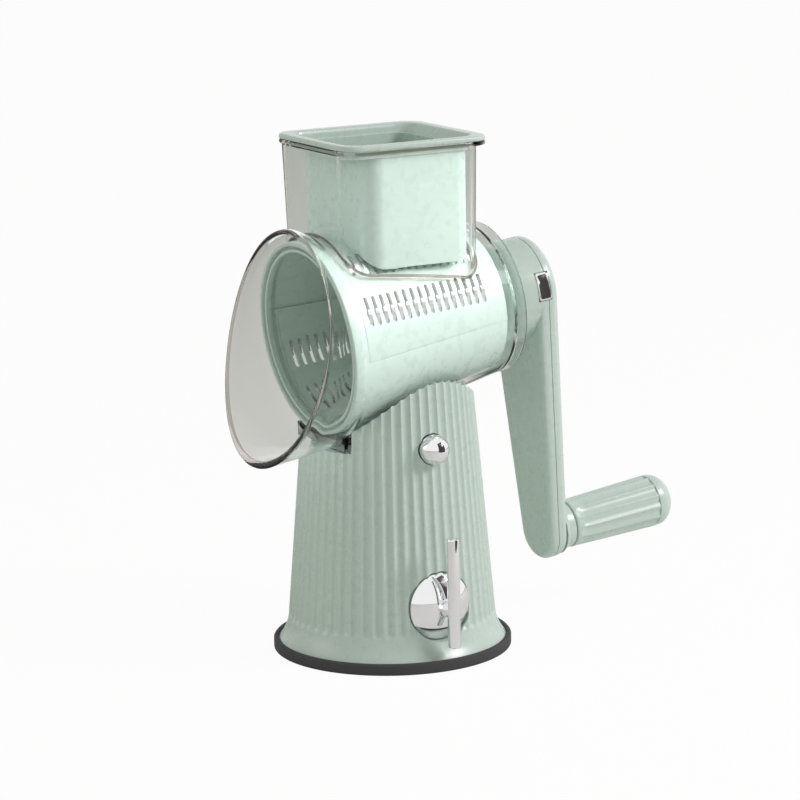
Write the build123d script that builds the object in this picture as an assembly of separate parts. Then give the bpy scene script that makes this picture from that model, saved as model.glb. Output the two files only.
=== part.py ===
from build123d import *
import os
from math import sin, cos, tan, radians, degrees, asin, acos, atan, sqrt

os.makedirs("parts", exist_ok=True)

# Rotary shredder. Millimetres, +Z up, origin on the worktop under the middle of the stand.
# The drum axis lies in the YZ plane: mouth toward -Y, crank toward +Y, levers on the +X side.

# ---------------------------------------------------------------- driving dimensions
GAP = 0.35                 # ordinary clearance between pieces that move past each other
RUN = 0.05                 # radial clearance of a running fit
WALL = 2.5                 # wall of the moulded plastic pieces

TOWER_FOOT_R = 67.0        # stand, outer radius at its lower edge
TOWER_FOOT_Z = 5.5         # stand, height of its lower edge
FLUTE_Z0 = 19.0            # height where the flutes start
CONE_R0 = 62.45            # straight part of the stand: radius = CONE_R0 - CONE_K * height
CONE_K = 0.0845
TOWER_FLARE = (63.1, 11.5) # a point of the flare between foot and cone, radius and height
TOWER_TOP = 176.0          # blank height before the saddle is cut
BOSS_AT = 53.5             # the four floor screws stand at this radius
BOSS_ANGLES = (45, 135, 225, 315)
FLUTES = 56
FLUTE_R = 3.6              # radius of the tool that cuts a flute
FLUTE_DEPTH = 1.0

FOOT_RING_R = 69.9         # rubber foot ring
FOOT_RING_IN = 58.5
FOOT_LIP_Z = 6.6

DRUM_Z = 193.8             # height of the drum axis above the middle of the stand
DRUM_TILT = 6.05           # the mouth hangs lower than the crank side, degrees
DRUM_FRONT = -53.0
DRUM_RING_R = 56.4
DRUM_K = 0.136             # drum radius falls by this much per mm toward the crank
DRUM_R0 = 49.1             # drum outer radius at station 0
DRUM_BACK = 56.0
DRUM_WALL = 2.4

SLOTS = 16                 # slots in one row
SLOT_PITCH = 5.3
SLOT_FIRST = -38.0
SLOT_W = 2.7
SLOT_LEN = 17.0
TOOTH_LEAN = 26.0          # a tooth rises from the plate to 1 mm above the panel
TOOTH_LEN = 10.1
RIB_ANGLES = (-7.6, 84.6, 172.4, 264.6)  # inner ribs of the drum
ROW_ANGLES = (22.0, 55.0, 202.0, 235.0)
PANEL_MID = (38.5, 218.5)  # middle of each slotted panel, degrees from +X toward the hopper
PANEL_HALF = 28.1          # half width of a panel square to its middle
PANEL_S = (-43.5, 49.5)

BARREL_R0 = 53.0           # clear barrel outer radius at station 0
BARREL_K = 0.134
BARREL_FRONT = -46.0
BARREL_BACK = 60.0
CLEAR_WALL = 2.4
FLANGE_R = 45.0
FLANGE_BACK = 68.0
HOOD = ((-44.0, 59.0, 59.0), (-54.0, 60.6, 64.2), (-102.0, 63.0, 66.8))  # station, half width, half height
MOUTH = ((-98.8, -70.0), (-71.8, 0.0), (-54.7, 70.0))  # station and height of three points on the rim
BUSH_R = 16.5              # hole for the bush that the drum hub turns in
RAIL_X = 28.5              # rail under the housing, which fills the channel of the stand

HOPPER_RIM_Z = 299.1
HOPPER_RIM_X = 44.9
HOPPER_RIM_Y = (-49.0, 46.2)
HOPPER_X = (42.0, 42.6)    # half width at the bottom and at the top
HOPPER_Y_LOW = (-45.8, 40.5)
HOPPER_Y_TOP = (-48.4, 41.4)
HOPPER_CORNER = 12.0
RIM_CORNER = 12.5

SADDLE_R0 = 56.0           # trough in the top of the stand
SADDLE_K = 0.075
CHANNEL_X = 29.0           # channel for the rail under the housing
CHANNEL_Z = 121.5
CHANNEL_BACK = 30.0

PUSH_X = 39.0
PUSH_Y = (-33.0, 35.5)
PUSH_CORNER = 9.0
PUSH_COLLAR = (-44.6, 37.4)  # widened top of the pusher inside the hopper, along Y
PUSH_ARCH = (61.0, 189.0)  # radius and height of the axis of the arched underside
PUSH_TOP = 302.2

SEAM = 92.0                # station of the joint between the two crank halves
ARM_FRONT = 83.5
ARM_BACK = 100.0
HUB_R = 33.0
TIP_R = 17.0
CRANK_L = 150.8
CRANK_REST = 1.0           # crank angle in the photographed pose, degrees
SQUARE = 12.0              # drive bar across flats
COVER_SCREWS = (-52.0, -112.0)  # places of the two cover screws along the arm
KEY_S = (85.6, 95.0)       # side button of the crank: along the drum axis
KEY_N = (-6.0, 12.6)       # and along the arm
KEY_FACE = 33.6

GRIP_START = 107.5
GRIP_END = 166.5
GRIP_R = (14.5, 16.0)
GRIP_FLUTES = 14
SPINDLE_R = 3.0

LEVER_Z = 35.5             # suction lever axis
POCKET_R = 20.3
POCKET_X = 53.5
DOME_R = 19.4
DOME_X = 56.2
DOME_HIGH = 8.0
SHAFT_R = 4.0
BAR_X = 72.6
BAR_R = 3.1
BAR_UP = 36.5
BAR_DOWN = 26.0

BUTTON_Z = 126.5           # release button axis
BUTTON_R = 8.8
BUTTON_BACK = 49.0         # back of the button at rest
BUTTON_TRAVEL = 2.5
PAD_LIFT = 3.0             # rise of the suction foot, and throw of the eccentric that lifts it
CAM_R = 6.0
FLOOR_TOP = 10.8           # upper face of the plate that closes the stand

# ---------------------------------------------------------------- helpers
TILT = Location((0, 0, DRUM_Z), (DRUM_TILT, 0, 0))
CRANK = TILT * Location((0, 0, 0), (0, CRANK_REST, 0))


def along_y(r0, r1, y0, y1):
    """Cylinder or cone on the drum axis from station y0 (radius r0) to y1 (radius r1)."""
    h = y1 - y0
    body = Cylinder(r0, h) if abs(r0 - r1) < 1e-6 else Cone(r0, r1, h)
    return Pos(0, (y0 + y1) / 2, 0) * Rot(-90, 0, 0) * body


def along_x(r0, r1, x0, x1, z, y=0.0):
    """Cylinder or cone along X at height z."""
    h = x1 - x0
    body = Cylinder(r0, h) if abs(r0 - r1) < 1e-6 else Cone(r0, r1, h)
    return Pos((x0 + x1) / 2, y, z) * Rot(0, 90, 0) * body


def upright(r, z0, z1, x=0.0, y=0.0):
    return Pos(x, y, (z0 + z1) / 2) * Cylinder(r, z1 - z0)


def block(x0, x1, y0, y1, z0, z1):
    return Pos((x0 + x1) / 2, (y0 + y1) / 2, (z0 + z1) / 2) * Box(x1 - x0, y1 - y0, z1 - z0)


def polar(angle, r, s):
    """Frame on the drum: X points outward at this angle, Y runs along the axis."""
    return Rot(0, -angle, 0) * Pos(r, s, 0)


def drum_r(s):
    return DRUM_R0 - DRUM_K * s


def barrel_r(s):
    return BARREL_R0 - BARREL_K * s


def cone_r(z):
    return CONE_R0 - CONE_K * z


def saddle(extra):
    s0, s1 = -95.0, 95.0
    r0, r1 = SADDLE_R0 - SADDLE_K * s0, SADDLE_R0 - SADDLE_K * s1
    return TILT * along_y(r0 + extra, r1 + extra, s0, s1)


def coil(wire, coil_r, length, turns):
    """Helical compression spring of square wire standing on z = 0."""
    rise = length - wire * 1.05
    path = Pos(0, 0, (length - rise) / 2) * Helix(rise / turns, rise, coil_r)
    start = Plane(origin=path @ 0, x_dir=(1, 0, 0), z_dir=path % 0)
    return sweep(start * Rectangle(wire, wire), path=path, is_frenet=True)


# ---------------------------------------------------------------- stand
def tower_blank(inset):
    """Solid of revolution of the stand: flared foot, then a straight cone."""
    z0 = TOWER_FOOT_Z if inset == 0 else TOWER_FOOT_Z - 2
    foot = (TOWER_FOOT_R - inset, z0)
    mid = (TOWER_FLARE[0] - inset, TOWER_FLARE[1])
    knee = (cone_r(FLUTE_Z0 + 3) - inset, FLUTE_Z0 + 3)
    head = (cone_r(TOWER_TOP) - inset, TOWER_TOP)
    with BuildPart() as p:
        with BuildSketch(Plane.XZ):
            with BuildLine():
                ThreePointArc(foot, mid, knee)
                Polyline(knee, head, (0, TOWER_TOP), (0, z0), foot)
            make_face()
        revolve(axis=Axis.Z)
    return p.part


def flute_tools():
    lean = degrees(atan(CONE_K))
    z0, z1 = FLUTE_Z0, TOWER_TOP + 4
    zm = (z0 + z1) / 2
    off = (FLUTE_R - FLUTE_DEPTH) / cos(radians(lean))
    rod = Pos(cone_r(zm) + off, 0, zm) * Rot(0, -lean, 0) * Cylinder(FLUTE_R, (z1 - z0) * 1.004)
    return [Rot(0, 0, 360 / FLUTES * i) * rod for i in range(FLUTES)]


def tower():
    body = tower_blank(0) - flute_tools()
    body -= saddle(0)
    body -= TILT * hood(-0.4)
    body -= block(-CHANNEL_X, CHANNEL_X, -80, CHANNEL_BACK, CHANNEL_Z, 190)
    hollow = tower_blank(WALL + 0.2)
    hollow -= saddle(WALL)
    hollow -= block(-CHANNEL_X - WALL, CHANNEL_X + WALL, -80, CHANNEL_BACK + WALL, CHANNEL_Z - WALL, 190)
    hollow -= along_x(POCKET_R + WALL, POCKET_R + WALL, POCKET_X - WALL, 80, LEVER_Z)
    hollow -= along_x(12.3, 12.3, 41.5, 80, BUTTON_Z)
    for a in BOSS_ANGLES:
        hollow -= Rot(0, 0, a) * (upright(4.2, FLOOR_TOP, 27, BOSS_AT) + block(53, 66, -1.2, 1.2, FLOOR_TOP, 27))
    body -= hollow
    body -= along_x(POCKET_R, POCKET_R, POCKET_X, 80, LEVER_Z)
    body -= along_x(6.0, 6.0, 40, 60, LEVER_Z)
    body -= along_x(BUTTON_R + GAP, BUTTON_R + GAP, BUTTON_BACK - BUTTON_TRAVEL - 3.0, 70, BUTTON_Z)
    body -= along_x(3.0 + GAP, 3.0 + GAP, 40, 44, BUTTON_Z)
    body -= block(18.5, 28.6, -5.8, 5.8, CHANNEL_Z - WALL - 1, CHANNEL_Z + 1)
    for a in BOSS_ANGLES:
        body -= Rot(0, 0, a) * upright(1.6, 8, 22, BOSS_AT)
    return body


def stand_floor():
    plate = upright(58.2, FLOOR_TOP - 2.4, FLOOR_TOP)
    plate += upright(8.0, FLOOR_TOP, 20.0)
    plate += block(-20, -14, -7, 7, FLOOR_TOP, LEVER_Z + 8)
    plate -= upright(4.0 + GAP, 5, 21)
    plate -= along_x(SHAFT_R + RUN, SHAFT_R + RUN, -21, -13, LEVER_Z)
    for a in BOSS_ANGLES:
        plate -= Rot(0, 0, a) * upright(1.8, 5, 12, BOSS_AT)
    return plate


def floor_screws():
    head = FLOOR_TOP - 2.4
    one = upright(3.2, head - 1.2, head, BOSS_AT) + upright(1.55, head, 20, BOSS_AT)
    return Compound([Rot(0, 0, a) * one for a in BOSS_ANGLES])


def foot_ring():
    ring = upright(FOOT_RING_R, 0, FOOT_LIP_Z) - upright(FOOT_RING_IN, -1, 8)
    ring = fillet(ring.edges().filter_by(GeomType.CIRCLE).sort_by(Axis.Z)[-2:].sort_by(SortBy.LENGTH)[-1], 1.2)
    ring -= upright(TOWER_FOOT_R + 0.1, TOWER_FOOT_Z, 9)
    ring -= upright(61.0, 4.9, 9)
    return ring


def lever_bush():
    bush = along_x(6.0, 6.0, POCKET_X - WALL, POCKET_X, LEVER_Z)
    bush += along_x(8.5, 8.5, POCKET_X - WALL - 2, POCKET_X - WALL, LEVER_Z)
    return bush - along_x(SHAFT_R + RUN, SHAFT_R + RUN, 40, 60, LEVER_Z)


def hood(inset):
    """Elliptical sleeve in front of the barrel, slightly wider toward the mouth."""
    faces = [Plane(origin=(0, s, 0), x_dir=(1, 0, 0), z_dir=(0, -1, 0)) * Ellipse(x - inset, n - inset)
             for s, x, n in HOOD]
    return loft(faces, ruled=True)


def mouth_cut():
    """Everything in front of the slanted, slightly bowed rim of the hood."""
    with BuildPart() as p:
        with BuildSketch(Plane.YZ):
            with BuildLine():
                ThreePointArc(*MOUTH)
                Polyline(MOUTH[2], (MOUTH[2][0], 95.0), (-130.0, 95.0), (-130.0, -95.0),
                         (-109.5, -95.0), MOUTH[0])
            make_face()
        extrude(amount=90, both=True)
    return p.part


def hopper_prism(inset, z0, z1):
    zs = (235.0, HOPPER_RIM_Z)
    out = []
    for z in (z0, z1):
        t = (z - zs[0]) / (zs[1] - zs[0])
        hx = HOPPER_X[0] + t * (HOPPER_X[1] - HOPPER_X[0]) - inset
        ya = HOPPER_Y_LOW[0] + t * (HOPPER_Y_TOP[0] - HOPPER_Y_LOW[0]) + inset
        yb = HOPPER_Y_LOW[1] + t * (HOPPER_Y_TOP[1] - HOPPER_Y_LOW[1]) - inset
        out.append(Pos(0, (ya + yb) / 2, z) * RectangleRounded(2 * hx, yb - ya, HOPPER_CORNER - inset))
    return loft(out, ruled=True)


def slab(hx, ya, yb, corner, z0, z1):
    face = Pos(0, (ya + yb) / 2, z0) * RectangleRounded(2 * hx, yb - ya, corner)
    return extrude(face, amount=z1 - z0)


def housing():
    s0, s1 = BARREL_FRONT, BARREL_BACK
    outer = along_y(barrel_r(s0), FLANGE_R, s0, s1)
    outer += hood(0)
    outer += along_y(FLANGE_R, FLANGE_R, s1, FLANGE_BACK)
    inner = along_y(barrel_r(s0) - CLEAR_WALL, FLANGE_R - CLEAR_WALL, s0, s1)
    inner += hood(CLEAR_WALL)
    outer = TILT * outer
    inner = TILT * inner
    outer += hopper_prism(0, 215, HOPPER_RIM_Z - 1)
    outer += slab(HOPPER_RIM_X, HOPPER_RIM_Y[0], HOPPER_RIM_Y[1], RIM_CORNER, 297.0, HOPPER_RIM_Z)
    front = tower_blank(0.35)
    rail = block(-RAIL_X, RAIL_X, -60, CHANNEL_BACK - 1.6, CHANNEL_Z + 0.05, 160) & front
    rail -= block(-26, 26, -40, 26, 120, 127.5)
    rail -= block(25, 27.4, -5.3, 5.3, 120, 127.5)
    outer += rail
    outer -= inner
    outer -= hopper_prism(CLEAR_WALL, 205, HOPPER_RIM_Z + 2)
    outer -= TILT * mouth_cut()
    outer -= TILT * along_y(42.0, 42.0, 62.4, 70)
    outer -= TILT * along_y(BUSH_R, BUSH_R, 55, 64)
    return outer


def rear_bush():
    bush = along_y(BUSH_R - RUN, BUSH_R - RUN, 59.9, 64.5) + along_y(20.0, 20.0, 62.45, 64.5)
    bush -= along_y(14.0 + RUN, 14.0 + RUN, 55, 70)
    return TILT * bush


# ---------------------------------------------------------------- pusher
def pusher():
    bottom, shelf = 222.0, 291.5
    radius, height = PUSH_ARCH
    front, back = PUSH_COLLAR
    cup = slab(PUSH_X, PUSH_Y[0], PUSH_Y[1], PUSH_CORNER, bottom, shelf + WALL)
    collar = slab(PUSH_X + 0.6, front, back, PUSH_CORNER, shelf, HOPPER_RIM_Z + 1)
    rim = slab(HOPPER_RIM_X, HOPPER_RIM_Y[0], HOPPER_RIM_Y[1], RIM_CORNER, HOPPER_RIM_Z + GAP, PUSH_TOP)
    rim = fillet(rim.edges().group_by(Axis.Z)[-1], 1.0)
    under = Pos(0, 0, height) * Rot(90, 0, 0) * Cylinder(radius, 200)
    over = Pos(0, 0, height) * Rot(90, 0, 0) * Cylinder(radius + WALL, 200)
    body = cup + collar + rim - under
    hole = slab(PUSH_X - WALL, PUSH_Y[0] + WALL, PUSH_Y[1] - WALL, PUSH_CORNER - WALL, bottom, shelf + 5) - over
    hole += slab(PUSH_X - 1.4, front + 2.2, back - 2.2, PUSH_CORNER - 1.5, shelf + WALL - 0.1, 310)
    return body - hole


# ---------------------------------------------------------------- drum
def sector(mid, half, s0, s1, r_in, r_out):
    """Block of the drum wall: 'half' is its half width, square to its middle."""
    box = Rot(0, -mid, 0) * block(5, 90, s0, s1, -half, half)
    shell = along_y(r_out(s0), r_out(s1), s0, s1) - along_y(r_in(s0), r_in(s1), s0, s1)
    return box & shell


def drum_frame():
    s0, s1 = -47.0, DRUM_BACK
    shell = along_y(drum_r(s0), drum_r(s1), s0, s1)
    shell += along_y(DRUM_RING_R, DRUM_RING_R, DRUM_FRONT, s0)
    lip, neck = -49.0, -45.0
    hole = along_y(drum_r(neck) - DRUM_WALL, drum_r(s1) - DRUM_WALL, neck, s1)
    hole += along_y(50.2, drum_r(neck) - DRUM_WALL, lip, neck)
    hole += along_y(50.2, 50.2, DRUM_FRONT, lip)
    shell -= hole
    shell -= along_y(54.2, 54.2, DRUM_FRONT, lip - 0.5) - along_y(52.0, 52.0, DRUM_FRONT - 1, lip)
    rib = along_y(drum_r(s0) - 1, drum_r(s1) - 1, s0, s1)
    rib -= along_y(drum_r(s0) - DRUM_WALL - 1.6, drum_r(s1) - DRUM_WALL - 1.6, s0, s1)
    for a in RIB_ANGLES:
        shell += (Rot(0, -a, 0) * block(20, 80, -46, 49.9, -1.3, 1.3)) & rib
    window_in = lambda s: drum_r(s) - 6
    window_out = lambda s: drum_r(s) + 3
    for mid in PANEL_MID:
        shell -= sector(mid, PANEL_HALF + 0.15, PANEL_S[0] - 0.15, PANEL_S[1] + 0.15,
                        window_in, window_out)
    for a in (110.0, -101.0):
        shell -= Rot(0, -a, 0) * block(47, 51.4, -54, -49.5, -2.5, 2.5)
    return TILT * shell


def row_boxes(angle, t0, t1, width, r_in, r_out):
    """One box per slot of a row; t0..t1 is its extent along the surface, upward positive."""
    out = []
    for i in range(SLOTS):
        s = SLOT_FIRST + SLOT_PITCH * i
        out.append(Rot(0, -angle, 0) * block(drum_r(s) - r_in, drum_r(s) + r_out,
                                             s - width / 2, s + width / 2, t0, t1))
    return out


def panel(k):
    body = sector(PANEL_MID[k], PANEL_HALF, PANEL_S[0], PANEL_S[1],
                  lambda s: drum_r(s) - DRUM_WALL, drum_r)
    for a in ROW_ANGLES[2 * k:2 * k + 2]:
        body -= row_boxes(a, -SLOT_LEN / 2, SLOT_LEN / 2, SLOT_W, 8, 5)
    return TILT * body


def tooth_plate(k):
    """Steel strip under the panel with a raised tooth in every slot of both rows."""
    parts = []
    for a in ROW_ANGLES[2 * k:2 * k + 2]:
        strip = sector(a, 10.6, -42.0, 46.5,
                       lambda s: drum_r(s) - DRUM_WALL - 0.6, lambda s: drum_r(s) - DRUM_WALL - 0.1)
        strip -= row_boxes(a, 0.6, 8.4, SLOT_W, 8, 5)
        for i in range(SLOTS):
            s = SLOT_FIRST + SLOT_PITCH * i
            tooth = Pos(-1.22, 0, -3.75) * Rot(0, TOOTH_LEAN, 0) * Box(0.6, SLOT_W - 0.3, TOOTH_LEN)
            strip += polar(a, drum_r(s), s) * tooth
        parts.append(strip)
    both = parts[0] + parts[1]
    return TILT * both


def drum_hub():
    hub = along_y(drum_r(50.2) - DRUM_WALL - 0.1, drum_r(53.0) - DRUM_WALL - 0.1, 50.2, 53.0)
    hub += along_y(14.0, 14.0, 47.0, 69.2)
    for a in range(0, 360, 60):
        hub += Rot(0, -a, 0) * block(12, 36, 48.0, 50.2, -1.2, 1.2)
    hub -= Rot(0, CRANK_REST, 0) * Pos(0, 60, 0) * Box(SQUARE + 0.1, 24, SQUARE + 0.1)
    return TILT * hub


def drive_bar():
    bar = Pos(0, 69.0, 0) * Box(SQUARE, 41.0, SQUARE)
    bar = chamfer(bar.faces().sort_by(Axis.Y)[0].edges(), 1.0)
    return CRANK * bar


# ---------------------------------------------------------------- crank
def arm_outline(grow):
    """Plan of the crank: two circles joined by their common tangents."""
    r0, r1 = HUB_R + grow, TIP_R + grow
    a = asin((r0 - r1) / CRANK_L)
    p0 = (r0 * cos(a), -r0 * sin(a))
    p1 = (r1 * cos(a), -CRANK_L - r1 * sin(a))
    side = Polyline(p0, p1, (-p1[0], p1[1]), (-p0[0], p0[1]), close=True)
    face = make_face(side) + Circle(r0) + Pos(0, -CRANK_L) * Circle(r1)
    return Plane(origin=(0, 0, 0), x_dir=(1, 0, 0), z_dir=(0, -1, 0)) * face


def arm_slab(grow, y0, y1):
    return Pos(0, y1, 0) * extrude(arm_outline(grow), amount=y1 - y0)


def key_pocket():
    return block(18.5, 45, KEY_S[0] - GAP, KEY_S[1] + GAP, KEY_N[0] - GAP, KEY_N[1] + GAP)


def crank_front():
    body = arm_slab(0, ARM_FRONT, SEAM)
    edge = body.faces().sort_by(Axis.Y)[0].edges()
    body = fillet(edge, 3.0)
    body += along_y(30.5, 32.0, 69.5, ARM_FRONT + 1)
    body -= arm_slab(-WALL, ARM_FRONT + WALL, SEAM + 1) - along_y(33.5, 33.5, 80, SEAM + 2)
    body -= along_y(28.0, 28.0, 72.0, SEAM + 1) - along_y(11.0, 11.0, 60, SEAM + 2)
    body -= Pos(0, 80, 0) * Box(SQUARE + 0.1, 40, SQUARE + 0.1)
    body += block(16.0, 18.0, 71.0, 91.9, -8.0, 14.5)
    body -= key_pocket()
    for n in COVER_SCREWS:
        body += Pos(0, 0, n) * along_y(4.0, 4.0, ARM_FRONT + 1, SEAM)
        body -= Pos(0, 0, n) * along_y(1.6, 1.6, ARM_FRONT + 3, SEAM + 1)
    body += Pos(0, 0, -CRANK_L) * along_y(6.5, 6.5, ARM_FRONT + 1, SEAM)
    body -= Pos(0, 0, -CRANK_L) * along_y(SPINDLE_R + 0.02, SPINDLE_R + 0.02, 87.0, SEAM + 1)
    return CRANK * body


def crank_rear():
    body = arm_slab(0, SEAM + 0.08, ARM_BACK)
    body = fillet(body.faces().sort_by(Axis.Y)[-1].edges(), 4.0)
    body -= arm_slab(-WALL - 2.0, SEAM, ARM_BACK - WALL)
    body -= arm_slab(-WALL, SEAM, ARM_BACK - 4.5)
    collar = along_y(16.6, 14.2, ARM_BACK - 2.5, 101.8) + along_y(14.2, 13.9, 101.8, GRIP_START - 0.5)
    body += Pos(0, 0, -CRANK_L) * (collar + along_y(7.0, 7.0, SEAM + 0.08, ARM_BACK))
    body -= Pos(0, 0, -CRANK_L) * along_y(SPINDLE_R + 0.02, SPINDLE_R + 0.02, SEAM - 1, 112)
    body -= key_pocket()
    for n in COVER_SCREWS:
        body += Pos(0, 0, n) * along_y(5.2, 5.2, SEAM + 0.08, ARM_BACK - 1)
        body -= Pos(0, 0, n) * along_y(3.4, 3.4, 96.0, ARM_BACK + 1)
        body -= Pos(0, 0, n) * along_y(1.8, 1.8, SEAM - 1, ARM_BACK)
    return CRANK * body


def cover_screws():
    one = along_y(3.2, 3.2, 96.0, 98.4) + along_y(1.55, 1.55, 87.5, 96.0)
    one -= Pos(0, 98.4, 0) * Box(3.6, 1.6, 0.8)
    one -= Pos(0, 98.4, 0) * Box(0.8, 1.6, 3.6)
    return CRANK * Compound([Pos(0, 0, n) * one for n in COVER_SCREWS])


def grip_spindle():
    pin = along_y(SPINDLE_R, SPINDLE_R, 87.2, 167.0) + along_y(5.5, 5.5, 167.0, 169.4)
    return CRANK * Pos(0, 0, -CRANK_L) * pin


def crank_button():
    key = block(25.0, KEY_FACE, *KEY_S, *KEY_N)
    key &= along_y(33.8, 33.8, 80, 100)
    key = fillet(key.edges().filter_by(Axis.X), 0.8)
    key -= along_x(3.2, 3.2, 24, 29.0, sum(KEY_N) / 2, sum(KEY_S) / 2)
    return CRANK * key


def crank_spring():
    body = coil(0.7, 2.5, 10.6, 4)
    return CRANK * Pos(18.2, sum(KEY_S) / 2, sum(KEY_N) / 2) * Rot(0, 90, 0) * body


# ---------------------------------------------------------------- grip
def grip_sleeve():
    r0, r1 = GRIP_R
    body = along_y(r0, r1, GRIP_START, GRIP_END)
    body = chamfer(body.edges().filter_by(GeomType.CIRCLE).sort_by(Axis.Y)[0], 0.6)
    lean = degrees(atan((r1 - r0) / (GRIP_END - GRIP_START)))
    ym = (GRIP_START + GRIP_END) / 2
    rod = Rot(0, 0, -lean) * Rot(90, 0, 0) * Cylinder(4.6, 80)
    body -= [Rot(0, 360 / GRIP_FLUTES * i, 0) * Pos((r0 + r1) / 2 + 3.7, ym + 4, 0) * rod
             for i in range(GRIP_FLUTES)]
    body -= along_y(SPINDLE_R + 0.08, SPINDLE_R + 0.08, 100, 180)
    return CRANK * Pos(0, 0, -CRANK_L) * body


def grip_cap():
    foot, edge, top, r = GRIP_END + 0.1, 170.0, 180.0, 15.5
    high = top - edge
    ball = (r * r + high * high) / (2 * high)
    half = degrees(asin(r / ball)) / 2
    mid = (ball * sin(radians(half)), top - ball + ball * cos(radians(half)))
    with BuildPart() as p:
        with BuildSketch(Plane.XY):
            with BuildLine():
                Polyline((0, top), (0, foot), (15.9, foot), (r, edge))
                ThreePointArc((r, edge), mid, (0, top))
            make_face()
        revolve(axis=Axis.Y)
    cap = p.part - along_y(6.2, 6.2, 160, 171.0)
    return CRANK * Pos(0, 0, -CRANK_L) * cap


# ---------------------------------------------------------------- release button
def release_button():
    dome = Pos(52.3, 0, BUTTON_Z) * Sphere(BUTTON_R) & block(52.3, 70, -20, 20, 110, 150)
    dome += along_x(BUTTON_R, BUTTON_R, BUTTON_BACK, 52.3, BUTTON_Z)
    dome += along_x(3.0, 3.0, 39.8, BUTTON_BACK, BUTTON_Z)
    return dome


def release_catch():
    body = block(37.2, 39.8, -6, 6, 114.8, 131.5)
    body += block(22.4, 37.2, -4.5, 4.5, 114.8, 118.4)
    body += block(22.4, 26.4, -4.5, 4.5, 118.4, 126.0)
    return body


def release_spring():
    return Pos(43.7, 0, BUTTON_Z) * Rot(0, 90, 0) * coil(0.6, 5.0, 5.1, 2)


# ---------------------------------------------------------------- suction lever and foot
def dome_profile(r, high, x0, back):
    """Domed disc on the lever axis: rim radius r, crown 'high' above the rim plane at x0."""
    with BuildPart() as p:
        with BuildSketch(Plane.XZ):
            with BuildLine():
                ball = (r * r + high * high) / (2 * high)
                half = degrees(asin(r / ball)) / 2
                cx = x0 + high - ball
                mid = (cx + ball * cos(radians(half)), ball * sin(radians(half)))
                ThreePointArc((x0 + high, 0), mid, (x0, r))
                Polyline((x0, r), (x0 - back, r), (x0 - back, 0), (x0 + high, 0))
            make_face()
        revolve(axis=Axis.X)
    return Pos(0, 0, LEVER_Z) * p.part


def lever_dome():
    cap = dome_profile(DOME_R, DOME_HIGH, DOME_X, 2.0)
    cap -= along_x(3.0, 3.0, 50, 80, LEVER_Z)
    return cap - along_x(SHAFT_R, SHAFT_R, 50, 58.0, LEVER_Z)


def lever_bar():
    bar = upright(BAR_R, LEVER_Z - BAR_DOWN, LEVER_Z + BAR_UP, BAR_X)
    bar = chamfer(bar.edges().filter_by(GeomType.CIRCLE), 0.5)
    neck = along_x(5.0, 3.6, 62.5, 70.0, LEVER_Z) - dome_profile(DOME_R, DOME_HIGH, DOME_X, 2.0)
    return bar + neck + along_x(3.0, 3.0, 58.0, BAR_X, LEVER_Z)


def lever_shaft():
    rod = along_x(SHAFT_R, SHAFT_R, -20.5, 58.0, LEVER_Z)
    cam = Pos(0, PAD_LIFT, 0) * along_x(CAM_R, CAM_R, -3.5, 3.5, LEVER_Z)
    return rod + cam


def pull_stem():
    """Stem with a window round the eccentric; its top bar clears the eccentric by GAP all the way."""
    stem = upright(4.0, 3.2, LEVER_Z - 11.0)
    window_top = LEVER_Z + CAM_R + 0.22 * PAD_LIFT + GAP
    frame = block(-9.5, 9.5, -7, 7, LEVER_Z - 13.5, window_top + 4.0)
    frame -= block(-4.6, 4.6, -10, 10, LEVER_Z - 10.5, window_top)
    frame -= block(-12, 12, -4.8, 4.8, LEVER_Z - 8.6, LEVER_Z + 5.0)
    return stem + frame + upright(9.0, 3.2, 4.6)


def suction_pad():
    with BuildPart() as p:
        with BuildSketch(Plane.XZ):
            with BuildLine():
                Polyline((0, 1.2), (20, 1.2), (46, 0.6), (52, 0.6), (52, 1.4), (46, 2.0),
                         (20, 3.2), (0, 3.2), close=True)
            make_face()
        revolve(axis=Axis.Z)
    return p.part


NODES = {
    "stand_tower": tower,
    "stand_floor": stand_floor,
    "floor_screws": floor_screws,
    "foot_ring": foot_ring,
    "lever_bush": lever_bush,
    "clear_housing": housing,
    "rear_bush": rear_bush,
    "pusher_cup": pusher,
    "drum_frame": drum_frame,
    "slot_panel_upper": lambda: panel(0),
    "slot_panel_lower": lambda: panel(1),
    "tooth_plate_upper": lambda: tooth_plate(0),
    "tooth_plate_lower": lambda: tooth_plate(1),
    "drum_hub": drum_hub,
    "drive_bar": drive_bar,
    "crank_front": crank_front,
    "crank_rear": crank_rear,
    "cover_screws": cover_screws,
    "grip_spindle": grip_spindle,
    "crank_button": crank_button,
    "crank_spring": crank_spring,
    "grip_sleeve": grip_sleeve,
    "grip_cap": grip_cap,
    "release_button": release_button,
    "release_catch": release_catch,
    "release_spring": release_spring,
    "lever_dome": lever_dome,
    "lever_bar": lever_bar,
    "lever_shaft": lever_shaft,
    "pull_stem": pull_stem,
    "suction_pad": suction_pad,
}

for name, make in NODES.items():
    export_step(make(), "parts/" + name + ".step")
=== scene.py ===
import bmesh
import bpy
import numpy as np
from bpy.props import FloatProperty, FloatVectorProperty, IntProperty, PointerProperty
from bpy.types import Operator, Panel, PropertyGroup
from mathutils import Matrix, Vector

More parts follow.
